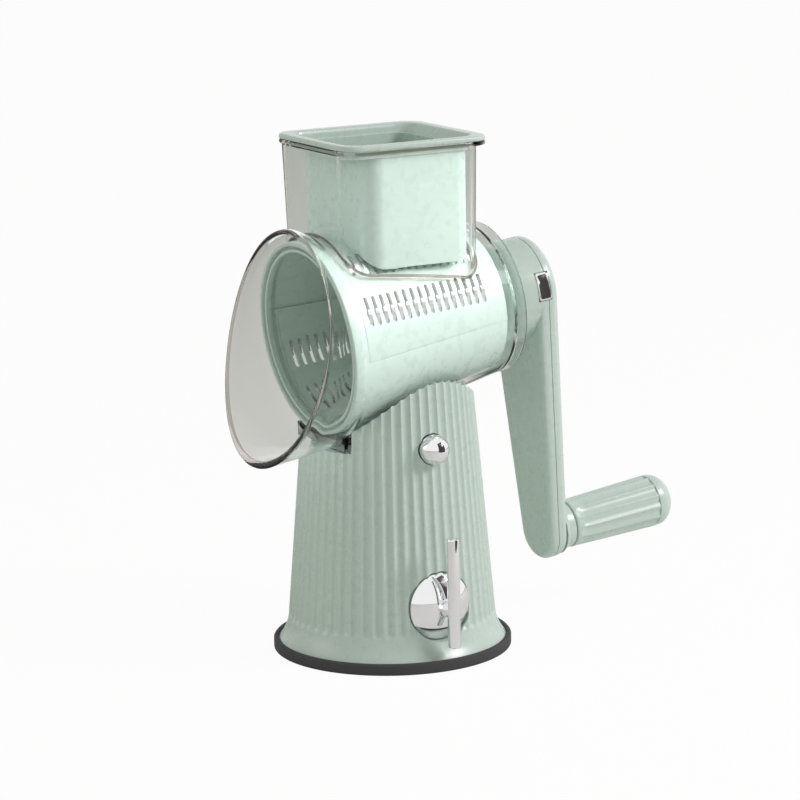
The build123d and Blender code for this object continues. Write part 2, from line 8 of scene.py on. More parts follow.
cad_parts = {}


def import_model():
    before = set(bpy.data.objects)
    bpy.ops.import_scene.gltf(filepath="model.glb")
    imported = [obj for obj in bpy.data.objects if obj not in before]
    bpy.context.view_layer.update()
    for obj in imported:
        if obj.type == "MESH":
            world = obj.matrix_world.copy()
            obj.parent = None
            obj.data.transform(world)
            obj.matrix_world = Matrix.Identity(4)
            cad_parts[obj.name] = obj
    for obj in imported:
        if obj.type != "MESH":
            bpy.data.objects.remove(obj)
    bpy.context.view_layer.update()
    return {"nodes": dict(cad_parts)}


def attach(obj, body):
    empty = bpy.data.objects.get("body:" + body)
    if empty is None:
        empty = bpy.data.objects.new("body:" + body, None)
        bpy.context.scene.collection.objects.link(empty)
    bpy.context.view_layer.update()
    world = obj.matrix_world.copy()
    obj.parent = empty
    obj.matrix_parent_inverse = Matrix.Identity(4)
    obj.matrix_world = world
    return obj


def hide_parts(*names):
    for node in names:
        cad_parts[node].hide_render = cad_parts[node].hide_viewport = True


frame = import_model()

bl_info = {
    "name": "Rotary shredder",
    "version": (1, 0, 0),
    "blender": (4, 5, 0),
    "location": "3D View > Sidebar > Shredder",
    "description": "Builds the shells, the clear housing, the drum and the finishes round the packed frame",
    "category": "Object",
}

# Sizes are millimetres, in the frame of the solids: +Z up, drum mouth toward -Y, levers at +X.
MM = 0.001

# ------------------------------------------------------------------ main sizes
DRUM_Z, DRUM_TILT = 193.8, 6.05
CRANK_REST, CRANK_L = 1.0, 150.8
LEVER_Z, BUTTON_Z = 35.5, 126.5
TOWER_FOOT = (67.0, 5.5)
TOWER_FLARE = (63.1, 11.5)
TOWER_WALL = 2.7
KNEE_Z = 22.0
RIDGE = -40.5                      # azimuth in degrees of one crest between two flutes
CHANNEL_ENDS = (-54.4, -125.3)     # azimuths at which the stand's upper edge stops
CONE_R0, CONE_K = 62.45, 0.0845
SADDLE_R0, SADDLE_K = 56.0, 0.075
TROUGH_EDGE = 1.1
CHANNEL_X, CHANNEL_Z, CHANNEL_BACK = 29.0, 124.8, 30.0
POCKET_R, POCKET_X, POCKET_WALL = 20.3, 53.5, 2.5
BUTTON_WAY_R, BUTTON_WAY_X = 9.15, 43.5
FLUTE_STEPS, FLUTE_START, FLUTE_FADE = 12, 18.6, 3.4
BARREL_R0, BARREL_K, BARREL_FRONT, BARREL_BACK = 53.0, 0.134, -44.0, 60.0
FLANGE_R, FLANGE_BACK = 45.0, 68.0
HOOD_S, HOOD_X, HOOD_N = (-102.0, -54.0), (63.0, 60.6), (66.8, 64.2)   # flare: stations, half widths, heights
MOUTH = (-71.8, 0.315, -0.001)         # the mouth's station: constant, slope and bow
HOUSING_STEPS = 240
HOPPER = (42.0, -45.8, 40.5, 12.0)     # half width, front, back and corner radius at HOPPER_Z
HOPPER_DRAFT = (0.6, -2.6, 0.9, 0.0)   # what these gain on the way up to HOPPER_TOP
HOPPER_Z, HOPPER_TOP = 235.0, 299.1
RIM = (44.9, -49.0, 46.2, 12.5)        # outlines of the same four sizes, of hopper rim and pusher
PUSHER, PUSHER_WALL = (39.0, -33.0, 35.5, 11.0), 2.5
COLLAR = (39.6, -44.6, 37.4, 11.0)
WELL = (38.0, -42.2, 38.7, 10.0)
ARCH_R, ARCH_Z, ARCH_BACK, ARCH_EDGE = 57.0, 189.0, 28.5, 7.0
DRUM_R0, DRUM_K, DRUM_BACK, DRUM_WALL = 49.1, 0.136, 56.0, 2.4
RIB_ANGLES = (-7.6, 84.6, 172.4, 264.6)
SLOTS, SLOT_PITCH, SLOT_FIRST, SLOT_W, SLOT_LEN = 16, 5.3, -38.0, 2.7, 17.0
ROW_ANGLES = (22.0, 55.0, 202.0, 235.0)
TOOTH_W, TOOTH_THICK, TOOTH_ROOT, TOOTH_TIP = 2.4, 0.6, -9.6, 0.9
PANEL_MID, PANEL_HALF, PANEL_S = (38.5, 218.5), 39.35, (-43.5, 55.9)
HUB_R, TIP_R, SEAM = 30.3, 17.0, 92.0
FRONT_FACE, BACK_FACE = 85.5, 99.6
KEY_S, KEY_N, KEY_R, KEY_GAP = (85.6, 94.0), (-2.4, 13.8), 31.2, 0.3
TUBE_FRONT, SHAFT_R, SCREWS_N = 69.5, 11.0, (-52.0, -112.0)
GRIP_START, GRIP_END, GRIP_R = 107.5, 166.5, (14.5, 16.0)
GRIP_FLUTES, GRIP_TOOL_R, GRIP_TOOL_OUT = 14, 4.6, 3.35
SPINDLE_R = 3.08
BAR_R, BAR_X, BAR_Z = 3.7, 71.95, (14.4, 78.3)


# ------------------------------------------------------------------ sizes and colours a user may change
class StandLook(PropertyGroup):
    """Flutes and colours of the stand."""

    flutes: IntProperty(name="Flutes", description="Grooves round the stand", default=56, min=12, max=90)
    flute_radius: FloatProperty(name="Flute radius", description="Radius of a groove's round floor",
                                default=0.0033, unit="LENGTH")
    flute_depth: FloatProperty(name="Flute depth", description="Depth of a groove",
                               default=0.0013, unit="LENGTH")
    plastic: FloatVectorProperty(name="Plastic", description="Colour of the moulded shells",
                                 default=(0.57, 0.695, 0.625), subtype="COLOR")
    rubber: FloatVectorProperty(name="Rubber", description="Colour of the foot ring",
                                default=(0.008, 0.008, 0.009), subtype="COLOR")


class HousingLook(PropertyGroup):
    """Walls, tint and painted edge shade of the clear housing."""

    wall: FloatProperty(name="Wall", description="Thickness of the clear wall", default=0.0024, unit="LENGTH")
    rim_extra: FloatProperty(name="Rim extra", default=0.0017, unit="LENGTH",
                             description="Added thickness at the lowest part of the hood rim")
    ior: FloatProperty(name="IOR", description="How strongly the clear plastic bends light", default=1.30)
    # Painted shade: a dark brown tint on the clear cut edges, standing in for the dark refraction and
    # reflections along them.
    edge: FloatVectorProperty(name="Edge", description="Tint seen along the cut edges",
                              default=(0.45, 0.38, 0.34), subtype="COLOR")


class MetalLook(PropertyGroup):
    """Colours of the metals."""

    chrome: FloatVectorProperty(name="Chrome", description="Colour of the plated levers",
                                default=(0.86, 0.86, 0.87), subtype="COLOR")
    steel: FloatVectorProperty(name="Steel", description="Colour of teeth, screws and shafts",
                               default=(0.74, 0.74, 0.75), subtype="COLOR")


class StageLook(PropertyGroup):
    """Strength of the light."""

    world: FloatProperty(name="World", description="Strength of the even light", default=0.37)
    key: FloatProperty(name="Key", description="Power of the large lamp at the right, in watts", default=23.0)
    fill: FloatProperty(name="Fill", description="Power of the soft lamp at the left, in watts", default=4.0)


# ------------------------------------------------------------------ frames
def tilted(x, s, n):
    """Drum frame to world: s runs along the drum axis toward the crank, n is square to it and upward."""
    a = np.radians(DRUM_TILT)
    x, s, n = np.broadcast_arrays(x, s, n)
    return np.stack([x, s * np.cos(a) - n * np.sin(a), DRUM_Z + s * np.sin(a) + n * np.cos(a)], -1)


def cranked(x, s, n):
    """Crank frame to world: the drum frame turned by the crank's rest angle."""
    a = np.radians(CRANK_REST)
    return tilted(x * np.cos(a) + n * np.sin(a), s, n * np.cos(a) - x * np.sin(a))


def gripped(x, s, n):
    """Grip frame to world: the crank frame moved to the grip's axis."""
    return cranked(x, s, n - CRANK_L)


def sideways(z0):
    """Frame of a piece turned about an X axis at height z0."""
    def place(x, s, n):
        x, s, n = np.broadcast_arrays(x, s, n)
        return np.stack([s, x, z0 + n], -1)
    return place


def plain(x, s, n):
    """World frame."""
    return np.stack(np.broadcast_arrays(x, s, n), -1)


def standing(x, s, n):
    """Frame of a piece turned about the Z axis."""
    x, s, n = np.broadcast_arrays(x, s, n)
    return np.stack([x, n, s], -1)


# ------------------------------------------------------------------ surfaces
def skin(loops, ring=False, caps=False):
    """Quads between neighbouring closed loops of a (k, n, 3) array; ring joins the last to the first."""
    k, n = loops.shape[:2]
    i = np.arange(k if ring else k - 1)[:, None]
    j = np.arange(n)[None, :]
    a, b = i * n + j, i * n + (j + 1) % n
    c, d = (i + 1) % k * n + (j + 1) % n, (i + 1) % k * n + j
    faces = np.stack([a, b, c, d], -1).reshape(-1, 4).tolist()
    if caps:
        faces += [list(range(n)), list(range((k - 1) * n, k * n))]
    return loops.reshape(-1, 3), faces


def patch(points):
    """Quads over an open (k, n, 3) grid."""
    k, n = points.shape[:2]
    i, j = np.arange(k - 1)[:, None], np.arange(n - 1)[None, :]
    a = i * n + j
    faces = np.stack([a, a + 1, a + n + 1, a + n], -1).reshape(-1, 4).tolist()
    return points.reshape(-1, 3), faces


def flat(loop):
    """One face over a closed flat outline of (n, 3) points."""
    return loop, [list(range(len(loop)))]


def turned(profile, place, n=160, ring=True):
    """Surface of revolution: each (radius, station) point of the profile is swept round the frame's axis."""
    a = np.linspace(0, 2 * np.pi, n, endpoint=False)
    r, s = np.asarray(profile, float).T[:, :, None]
    return skin(place(r * np.cos(a), s + 0 * a, r * np.sin(a)), ring=ring)


def rod(name, r, s0, s1, place, n=64):
    """Plain round rod on a frame's axis."""
    return make(name, turned([(0, s0), (r, s0), (r, s1), (0, s1)], place, n, ring=False))


def boxes(place, x, s, n):
    """Separate blocks; x, s and n are (m, 2) arrays of each block's low and high side."""
    x, s, n = (np.atleast_2d(np.asarray(v, float)) for v in (x, s, n))
    x, s, n = np.broadcast_arrays(x, s, n)
    cx, cs, cn = (0, 1, 1, 0, 0, 1, 1, 0), (0, 0, 1, 1, 0, 0, 1, 1), (0, 0, 0, 0, 1, 1, 1, 1)
    corners = place(x[:, cx], s[:, cs], n[:, cn])
    quads = np.array([[0, 3, 2, 1], [4, 5, 6, 7], [0, 1, 5, 4], [1, 2, 6, 5], [2, 3, 7, 6], [3, 0, 4, 7]])
    faces = (np.arange(len(x))[:, None, None] * 8 + quads).reshape(-1, 4)
    return corners.reshape(-1, 3), faces.tolist()


def rounded(points, radii, steps=6, closed=True):
    """Outline with round corners: at each corner an arc of the given radius touches both sides."""
    pts = np.asarray(points, float)
    radii = np.broadcast_to(radii, len(pts))
    out = []
    for i, (p, r) in enumerate(zip(pts, radii)):
        if r <= 0 or (not closed and i in (0, len(pts) - 1)):
            out.append(p[None])
            continue
        a, b = pts[i - 1] - p, pts[(i + 1) % len(pts)] - p
        a, b = a / np.hypot(*a), b / np.hypot(*b)
        half = 0.5 * np.arccos(np.clip(a @ b, -1, 1))
        centre = p + (a + b) / np.hypot(*(a + b)) * r / np.sin(half)
        t0, t1 = (np.arctan2(*(p + v * r / np.tan(half) - centre)[::-1]) for v in (a, b))
        t = t0 + ((t1 - t0 + np.pi) % (2 * np.pi) - np.pi) * np.linspace(0, 1, steps + 1)
        out.append(centre + r * np.stack([np.cos(t), np.sin(t)], -1))
    return np.concatenate(out)


def rect(hx, ya, yb, r, steps=12):
    """Rounded rectangle, half width hx, from ya to yb."""
    return rounded([(-hx, ya), (hx, ya), (hx, yb), (-hx, yb)], r, steps)


def levels(outline, z):
    """A flat outline set at height z, as one loop."""
    return np.column_stack([outline, np.broadcast_to(z, len(outline))])


def inset(sizes, d, z):
    """Level loop of a rounded rectangle (half width, front, back, corner radius), moved inward by d."""
    half, front, back, corner = sizes
    return levels(rect(half - d, front + d, back - d, corner - d), z)


def smooth(t):
    """S-curve from 0 to 1."""
    t = np.clip(t, 0, 1)
    return t * t * (3 - 2 * t)


# ------------------------------------------------------------------ meshes
def make(name, *surfaces):
    """One mesh from several surfaces: doubles merged, flat slivers dropped, faces outward."""
    verts, faces, start = [], [], 0
    for v, f in surfaces:
        verts.append(v)
        faces += [[i + start for i in face] for face in f]
        start += len(v)
    mesh = bpy.data.meshes.new(name)
    mesh.from_pydata(np.concatenate(verts) * MM, [], faces)
    work = bmesh.new()
    work.from_mesh(mesh)
    bmesh.ops.remove_doubles(work, verts=work.verts, dist=2e-6)
    bmesh.ops.dissolve_degenerate(work, edges=work.edges, dist=1e-7)
    bmesh.ops.recalc_face_normals(work, faces=work.faces)
    work.to_mesh(mesh)
    work.free()
    obj = bpy.data.objects.new(name, mesh)
    bpy.context.scene.collection.objects.link(obj)
    return obj


def combine(target, tool, operation="DIFFERENCE"):
    """Cuts the tool out of the target, or joins them, and drops the tool."""
    step = target.modifiers.new("combine", "BOOLEAN")
    step.operation, step.object, step.solver = operation, tool, "MANIFOLD"
    bpy.context.view_layer.update()
    result = target.evaluated_get(bpy.context.evaluated_depsgraph_get())
    mesh = bpy.data.meshes.new_from_object(result)
    if not len(mesh.polygons):
        raise RuntimeError(f"{target.name}: nothing is left after the cut")
    target.modifiers.clear()
    old, target.data = target.data, mesh
    bpy.data.meshes.remove(old)
    bpy.data.objects.remove(tool)
    return target


def dress(obj, material, body, nodes, sharp=32.0):
    """Gives a finished piece its shading, finish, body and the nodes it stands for."""
    mesh = obj.data
    mesh.polygons.foreach_set("use_smooth", np.ones(len(mesh.polygons), bool))
    mesh.set_sharp_from_angle(angle=np.radians(sharp))
    mesh.materials.clear()
    for m in material if isinstance(material, list) else [material]:
        mesh.materials.append(m)
    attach(obj, body)
    if nodes:
        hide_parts(*nodes)
    return obj


def soften(obj, width):
    """Small bevel on the sharp edges."""
    step = obj.modifiers.new("soft edges", "BEVEL")
    step.width, step.segments = width * MM, 2
    step.limit_method, step.angle_limit = "ANGLE", np.radians(40.0)


# ------------------------------------------------------------------ finishes
class Recipe:
    """Short way to add and join the nodes of one material."""

    def __init__(self, name):
        self.mat = bpy.data.materials.new(name)
        self.mat.use_nodes = True
        self.nodes, self.links = self.mat.node_tree.nodes, self.mat.node_tree.links
        self.shader = self.nodes["Principled BSDF"]
        self.out = self.nodes["Material Output"]
        self.coords = self.add("ShaderNodeTexCoord")

    def add(self, kind, **values):
        node = self.nodes.new(kind)
        for key, value in values.items():
            if hasattr(node, key):
                setattr(node, key, value)
            else:
                node.inputs[key.replace("_", " ")].default_value = value
        return node

    def link(self, a, b):
        self.links.new(a, b)

    def set(self, **values):
        for key, value in values.items():
            self.shader.inputs[key.replace("_", " ")].default_value = value

    def noise(self, scale, detail=3.0, stretch=(1, 1, 1)):
        """Noise in the piece's own coordinates, in features per metre."""
        place = self.add("ShaderNodeMapping")
        place.inputs["Scale"].default_value = stretch
        self.link(self.coords.outputs["Object"], place.inputs["Vector"])
        node = self.add("ShaderNodeTexNoise", Scale=scale, Detail=detail)
        self.link(place.outputs["Vector"], node.inputs["Vector"])
        return node.outputs["Fac"]

    def ramp(self, fac, low, high, start=0.3, end=0.7):
        """A number from low to high as the factor goes from start to end."""
        node = self.add("ShaderNodeMapRange", From_Min=start, From_Max=end, To_Min=low, To_Max=high)
        self.link(fac, node.inputs["Value"])
        return node.outputs["Result"]

    def blend(self, fac, one, two):
        """Colour between one and two."""
        node = self.add("ShaderNodeMix", data_type="RGBA")
        for key, value in ((6, one), (7, two)):
            if isinstance(value, bpy.types.NodeSocket):
                self.link(value, node.inputs[key])
            else:
                node.inputs[key].default_value = (*value[:3], 1)
        self.link(fac, node.inputs[0])
        return node.outputs[2]

    def bump(self, height, strength, distance):
        node = self.add("ShaderNodeBump", Strength=strength, Distance=distance)
        self.link(height, node.inputs["Height"])
        self.link(node.outputs["Normal"], self.shader.inputs["Normal"])


def shade(colour, k):
    return tuple(min(1.0, c * k) for c in colour[:3])


def glossy_plastic(name, colour):
    """Moulded plastic: slight flow marks in the colour, uneven gloss and a faint orange-peel skin."""
    r = Recipe(name)
    flow = r.noise(9.0, 4.0, (1, 1, 0.35))
    tone = r.blend(r.ramp(flow, 0, 1), shade(colour, 0.99), shade(colour, 1.01))
    r.link(tone, r.shader.inputs["Base Color"])
    r.link(r.ramp(r.noise(160.0, 5.0), 0.26, 0.30), r.shader.inputs["Roughness"])
    r.set(IOR=1.5, Coat_Weight=0.12, Coat_Roughness=0.08)
    r.bump(r.noise(900.0, 2.0), 0.02, 0.0001)
    return r.mat


def matte_plastic(name, colour):
    """Plain moulded plastic with a fine grain."""
    r = Recipe(name)
    r.link(r.blend(r.ramp(r.noise(14.0), 0, 1), shade(colour, 0.94), shade(colour, 1.04)),
           r.shader.inputs["Base Color"])
    r.link(r.ramp(r.noise(220.0), 0.45, 0.6), r.shader.inputs["Roughness"])
    r.bump(r.noise(1400.0, 3.0), 0.12, 0.0002)
    return r.mat


def rubber(name, colour):
    """Dull rubber with dusty patches and a fine pitted skin."""
    r = Recipe(name)
    dust = r.ramp(r.noise(60.0, 6.0), 0, 1, 0.45, 0.75)
    r.link(r.blend(dust, colour, shade(colour, 2.2)), r.shader.inputs["Base Color"])
    r.link(r.ramp(r.noise(300.0), 0.55, 0.75), r.shader.inputs["Roughness"])
    r.set(Specular_IOR_Level=0.12)
    r.bump(r.noise(2200.0, 3.0), 0.2, 0.0002)
    return r.mat


def chrome(name, colour):
    """Mirror plating with the faintest smears."""
    r = Recipe(name)
    r.link(r.blend(r.ramp(r.noise(30.0), 0, 1), shade(colour, 0.97), shade(colour, 1.03)),
           r.shader.inputs["Base Color"])
    r.link(r.ramp(r.noise(240.0, 6.0), 0.03, 0.09), r.shader.inputs["Roughness"])
    r.set(Metallic=1.0)
    return r.mat


def brushed_steel(name, colour):
    """Satin steel with fine brush lines along the drum axis."""
    r = Recipe(name)
    lines = r.noise(900.0, 2.0, (1, 0.03, 1))
    tone = r.blend(r.ramp(lines, 0, 1), shade(colour, 0.97), shade(colour, 1.03))
    r.link(tone, r.shader.inputs["Base Color"])
    r.link(r.ramp(lines, 0.22, 0.30), r.shader.inputs["Roughness"])
    r.set(Metallic=1.0)
    r.bump(lines, 0.03, 0.0001)
    return r.mat


def clear_plastic(name, tint, ior, rough=0.015):
    """Clear moulded plastic that bends light a little; lamps shine through it, with faint surface waves."""
    r = Recipe(name)
    r.set(Base_Color=(*tint, 1), Transmission_Weight=1.0, IOR=ior)
    r.link(r.ramp(r.noise(70.0, 5.0), rough * 0.5, rough * 2.0), r.shader.inputs["Roughness"])
    r.bump(r.noise(26.0, 2.0), 0.02, 0.0006)
    path = r.add("ShaderNodeLightPath")
    open_way = r.add("ShaderNodeBsdfTransparent")
    open_way.inputs["Color"].default_value = (*shade(tint, 0.97), 1)
    mixer = r.add("ShaderNodeMixShader")
    r.link(path.outputs["Is Shadow Ray"], mixer.inputs[0])
    r.link(r.shader.outputs["BSDF"], mixer.inputs[1])
    r.link(open_way.outputs["BSDF"], mixer.inputs[2])
    r.link(mixer.outputs["Shader"], r.out.inputs["Surface"])
    return r.mat


def finish_of(kind):
    """Each finish, made once."""
    if kind in bpy.data.materials:
        return bpy.data.materials[kind]
    scene = bpy.context.scene
    stand, housing, metal = scene.shredder_stand, scene.shredder_housing, scene.shredder_metal
    if kind == "mint_plastic":
        return glossy_plastic(kind, stand.plastic)
    if kind == "dark_rubber":
        return rubber(kind, stand.rubber)
    if kind == "chrome_plate":
        return chrome(kind, metal.chrome)
    if kind == "satin_steel":
        return brushed_steel(kind, metal.steel)
    if kind == "clear_wall":
        return clear_plastic(kind, (0.975, 0.995, 0.984), housing.ior)
    # Dark brown tint for the cut edges and the hopper bead: painted shade in place of the dark refraction
    # along clear edges.
    if kind == "clear_edge_shade":
        return clear_plastic(kind, housing.edge, housing.ior, 0.12)
    if kind == "pale_plastic":
        return matte_plastic(kind, (0.78, 0.80, 0.78))
    raise KeyError(kind)


# ------------------------------------------------------------------ stand
def saddle_z(x, y):
    """Height of the trough above a point: the lower side of the cone round the drum axis, found by steps."""
    a = np.radians(DRUM_TILT)
    z = np.full(np.broadcast(x, y).shape, 140.0)
    for _ in range(12):
        s = y * np.cos(a) + (z - DRUM_Z) * np.sin(a)
        r = SADDLE_R0 - SADDLE_K * s
        n = -np.sqrt(np.maximum(r * r - x * x, 0.01))
        z = DRUM_Z + (n + y * np.sin(a)) / np.cos(a)
    return z


def flare_r(z):
    """Radius of the foot's flare: a circle through the foot, the flare point and the knee."""
    p = np.array([TOWER_FOOT, TOWER_FLARE, (CONE_R0 - CONE_K * KNEE_Z, KNEE_Z)])
    (ax, az), (bx, bz), (cx, cz) = p
    m = np.array([[bx - ax, bz - az], [cx - ax, cz - az]])
    k = 0.5 * np.array([bx**2 - ax**2 + bz**2 - az**2, cx**2 - ax**2 + cz**2 - az**2])
    centre = np.linalg.solve(m, k)
    r = np.hypot(*(p[0] - centre))
    return centre[0] - np.sqrt(r * r - (z - centre[1]) ** 2)


def tower_r(phi, z, look):
    """Stand radius: flare or cone, less round-floored flutes that start above the foot."""
    base = np.where(z < KNEE_Z, flare_r(np.minimum(z, KNEE_Z)), CONE_R0 - CONE_K * z)
    pitch = 2 * np.pi / look.flutes
    u = ((phi - np.radians(RIDGE)) / pitch % 1.0 - 0.5) * pitch * base
    tool, depth = look.flute_radius / MM, look.flute_depth / MM
    d = np.sqrt(np.maximum(tool**2 - u * u, 0)) - (tool - depth)
    d = 0.5 * (d + np.sqrt(d * d + 0.012))
    return base - d * smooth((z - FLUTE_START) / FLUTE_FADE)


def tower(look):
    """Fluted cone closed by the trough and the channel for the housing's rail."""
    columns = look.flutes * FLUTE_STEPS
    step = 2 * np.pi / columns
    phi = np.radians(RIDGE) + np.arange(columns) * step
    low = np.array([TOWER_FOOT[1], 6.2, 7.2, 8.5, 10, 11.5, 13, 14.5, 16, 17.4, 18.6, 19.2, 19.8, 20.4, 21,
                    21.6, KNEE_Z, 23, 30, 50, 75, 100, CHANNEL_Z])[:, None]
    r = tower_r(phi, low, look)
    lower = np.stack([r * np.cos(phi), r * np.sin(phi), low + 0 * r], -1)
    first, last = (columns + int(round(np.radians(a - RIDGE) / step)) for a in CHANNEL_ENDS)
    p = phi[np.arange(first, columns + last + 1) % columns]
    top = np.full(len(p), 150.0)
    for _ in range(10):
        rim = tower_r(p, top, look)
        top = saddle_z(rim * np.cos(p), rim * np.sin(p))
    rows = []
    for f in np.linspace(0, 1, 7):
        z = CHANNEL_Z + f * (top - TROUGH_EDGE - CHANNEL_Z)
        rows.append((tower_r(p, z, look), z))
    inner = rim - 0.8
    corner = np.stack([rim, top], -1)
    low_end = np.stack([rows[-1][0], rows[-1][1]], -1)
    high_end = np.stack([inner, saddle_z(inner * np.cos(p), inner * np.sin(p))], -1)
    for t in (0.25, 0.5, 0.75):
        q = (1 - t) ** 2 * low_end + 2 * t * (1 - t) * corner + t * t * high_end
        rows.append((q[:, 0], q[:, 1]))
    side = CHANNEL_X / np.maximum(np.abs(np.cos(p)), 1e-6)
    back = np.where(np.sin(p) > 0, CHANNEL_BACK / np.maximum(np.sin(p), 1e-6), 1e9)
    edge = np.minimum(side, back)
    for t in np.linspace(0, 1, 9):
        rho = inner + t * (edge - inner)
        rows.append((rho, saddle_z(rho * np.cos(p), rho * np.sin(p))))
    lip = rows[-1][1]
    for f in (0.5, 1.0):
        rows.append((edge, lip + f * (CHANNEL_Z - lip)))
    upper = np.stack([np.stack([a * np.cos(p), a * np.sin(p), b], -1) for a, b in rows])
    notch = np.arange(last, first + 1) % columns
    floor = np.concatenate([upper[-1], lower[-1][notch]])
    body = make("stand_shell", skin(lower), flat(lower[0]), patch(upper), flat(floor),
                flat(upper[:, 0]), flat(upper[:, -1]))
    combine(body, tower_hollow())
    combine(body, rod("pocket", POCKET_R, POCKET_X, 90, sideways(LEVER_Z), 128))
    combine(body, rod("button_hole", BUTTON_WAY_R, BUTTON_WAY_X, 80, sideways(BUTTON_Z), 96))
    combine(body, rod("shaft_hole", 6.0, 40, 60, sideways(LEVER_Z), 48))
    combine(body, rod("stem_hole", 3.35, 38, 50, sideways(BUTTON_Z), 48))
    combine(body, make("catch_way", boxes(plain, (18.5, 28.6), (-5.8, 5.8), (110, 130))))
    return dress(body, finish_of("mint_plastic"), "stand", ["stand_tower"], 38.0)


def tower_hollow():
    """Inside of the stand: the plain cone less walls round the trough, the channel and both pockets."""
    low = np.linspace(4.0, KNEE_Z, 12)
    outline = [(0, 3.0)] + [(flare_r(max(z, TOWER_FOOT[1])) - TOWER_WALL, z) for z in low]
    outline += [(CONE_R0 - CONE_K * 176 - TOWER_WALL, 176), (0, 176)]
    hollow = make("hollow", turned(outline, standing, 128, ring=False))
    reach, under = 95, SADDLE_R0 + 2.5
    trough = [(0, -reach), (under + SADDLE_K * reach, -reach), (under - SADDLE_K * reach, reach), (0, reach)]
    combine(hollow, make("trough", turned(trough, tilted, 128, ring=False)))
    combine(hollow, make("channel", boxes(plain, (-31.5, 31.5), (-80, 32.5), (CHANNEL_Z - 2.5, 190))))
    outer, back = POCKET_R + POCKET_WALL, POCKET_X - POCKET_WALL
    combine(hollow, rod("pocket_wall", outer, back, 80, sideways(LEVER_Z), 96))
    outer, back = BUTTON_WAY_R + 3.15, BUTTON_WAY_X - 2
    return combine(hollow, rod("button_wall", outer, back, 80, sideways(BUTTON_Z), 96))


def foot():
    """Rubber ring with a rounded outer edge and a thin lip round the stand."""
    section = rounded([(58.5, 0), (69.9, 0), (69.9, 5.7), (69.2, 6.6), (67.15, 6.6), (67.15, 5.4), (61, 4.9),
                       (58.5, 4.9)], (0.4, 1.0, 0.5, 0.3, 0.2, 0, 0, 0.4), 4)
    ring = make("rubber_foot", turned(section, standing, 256))
    return dress(ring, finish_of("dark_rubber"), "stand", ["foot_ring"])


# ------------------------------------------------------------------ clear housing
def hood_axes(s):
    """Half width and half height of the clear body at station s: a cone, flared to an ellipse in front."""
    blend = smooth((BARREL_FRONT - s) / 10.0)
    cone = BARREL_R0 - BARREL_K * s
    wide = HOOD_X[1] + (HOOD_X[0] - HOOD_X[1]) * (HOOD_S[1] - s) / (HOOD_S[1] - HOOD_S[0])
    high = HOOD_N[1] + (HOOD_N[0] - HOOD_N[1]) * (HOOD_S[1] - s) / (HOOD_S[1] - HOOD_S[0])
    return cone + blend * (wide - cone), cone + blend * (high - cone)


def mouth_s(n):
    """Station of the slanted, slightly bowed mouth at height n."""
    return MOUTH[0] + MOUTH[1] * n + MOUTH[2] * n * n


def barrel_surface(theta, s, depth):
    """Points at an angle and station, a depth inside the outer face."""
    wide, high = hood_axes(s)
    return (wide - depth) * np.cos(theta), s, (high - depth) * np.sin(theta)


def clear_shell(look):
    """Closed wall of barrel, hood and flange: one section for each angle, swept round the drum axis."""
    wall = look.wall / MM
    theta = np.linspace(0, 2 * np.pi, HOUSING_STEPS, endpoint=False)
    rim_wall = wall + look.rim_extra / MM * (0.35 + 0.65 * smooth(0.5 - 0.5 * np.sin(theta)))
    mouth = np.full(theta.shape, -72.0)
    columns = []

    def mouth_at(depth):
        s = mouth
        for _ in range(8):
            s = mouth_s(barrel_surface(theta, s, depth)[2])
        return s

    def add(s, depth):
        columns.append(tilted(*barrel_surface(theta, s, depth)))

    start = mouth_at(0)
    for q, back in ((0.0, 0.9), (0.1, 0.25), (0.3, 0.0), (0.7, 0.0), (0.9, 0.25), (1.0, 0.9)):
        add(mouth_at(q * rim_wall) + back, q * rim_wall)
    columns.reverse()
    for f in np.linspace(0, 1, 26)[1:]:
        add(start + 0.9 + f * (BARREL_FRONT - start - 0.9), 0)
    for s in (-20.0, 20.0, BARREL_BACK - 0.6):
        add(np.full(theta.shape, s), 0)
    back_part = rounded([(FLANGE_R, BARREL_BACK + 0.4), (FLANGE_R, FLANGE_BACK), (42.0, FLANGE_BACK),
                         (42.0, 62.4), (16.5, 62.4), (16.5, BARREL_BACK), (FLANGE_R - wall, BARREL_BACK)],
                        (0, 1.2, 0.8, 0.6, 0.3, 0.3, 1.0), 5)
    for r, s in back_part:
        columns.append(tilted(r * np.cos(theta), s, r * np.sin(theta)))
    for s in (20.0, -20.0):
        add(np.full(theta.shape, s), wall)
    inner = mouth_at(rim_wall)
    for f in np.linspace(1, 0, 26)[:-1]:
        depth = wall + (rim_wall - wall) * smooth(1 - 2.5 * f)
        add(inner + 0.9 + f * (BARREL_FRONT - inner - 0.9), depth)
    return make("clear_body", skin(np.stack(columns, 1), ring=True))


def hopper_loop(depth, z):
    """Rounded rectangle of the hopper wall at height z, with the draft of the moulding."""
    t = (z - HOPPER_Z) / (HOPPER_TOP - HOPPER_Z)
    return inset(np.array(HOPPER) + t * np.array(HOPPER_DRAFT), depth, z)


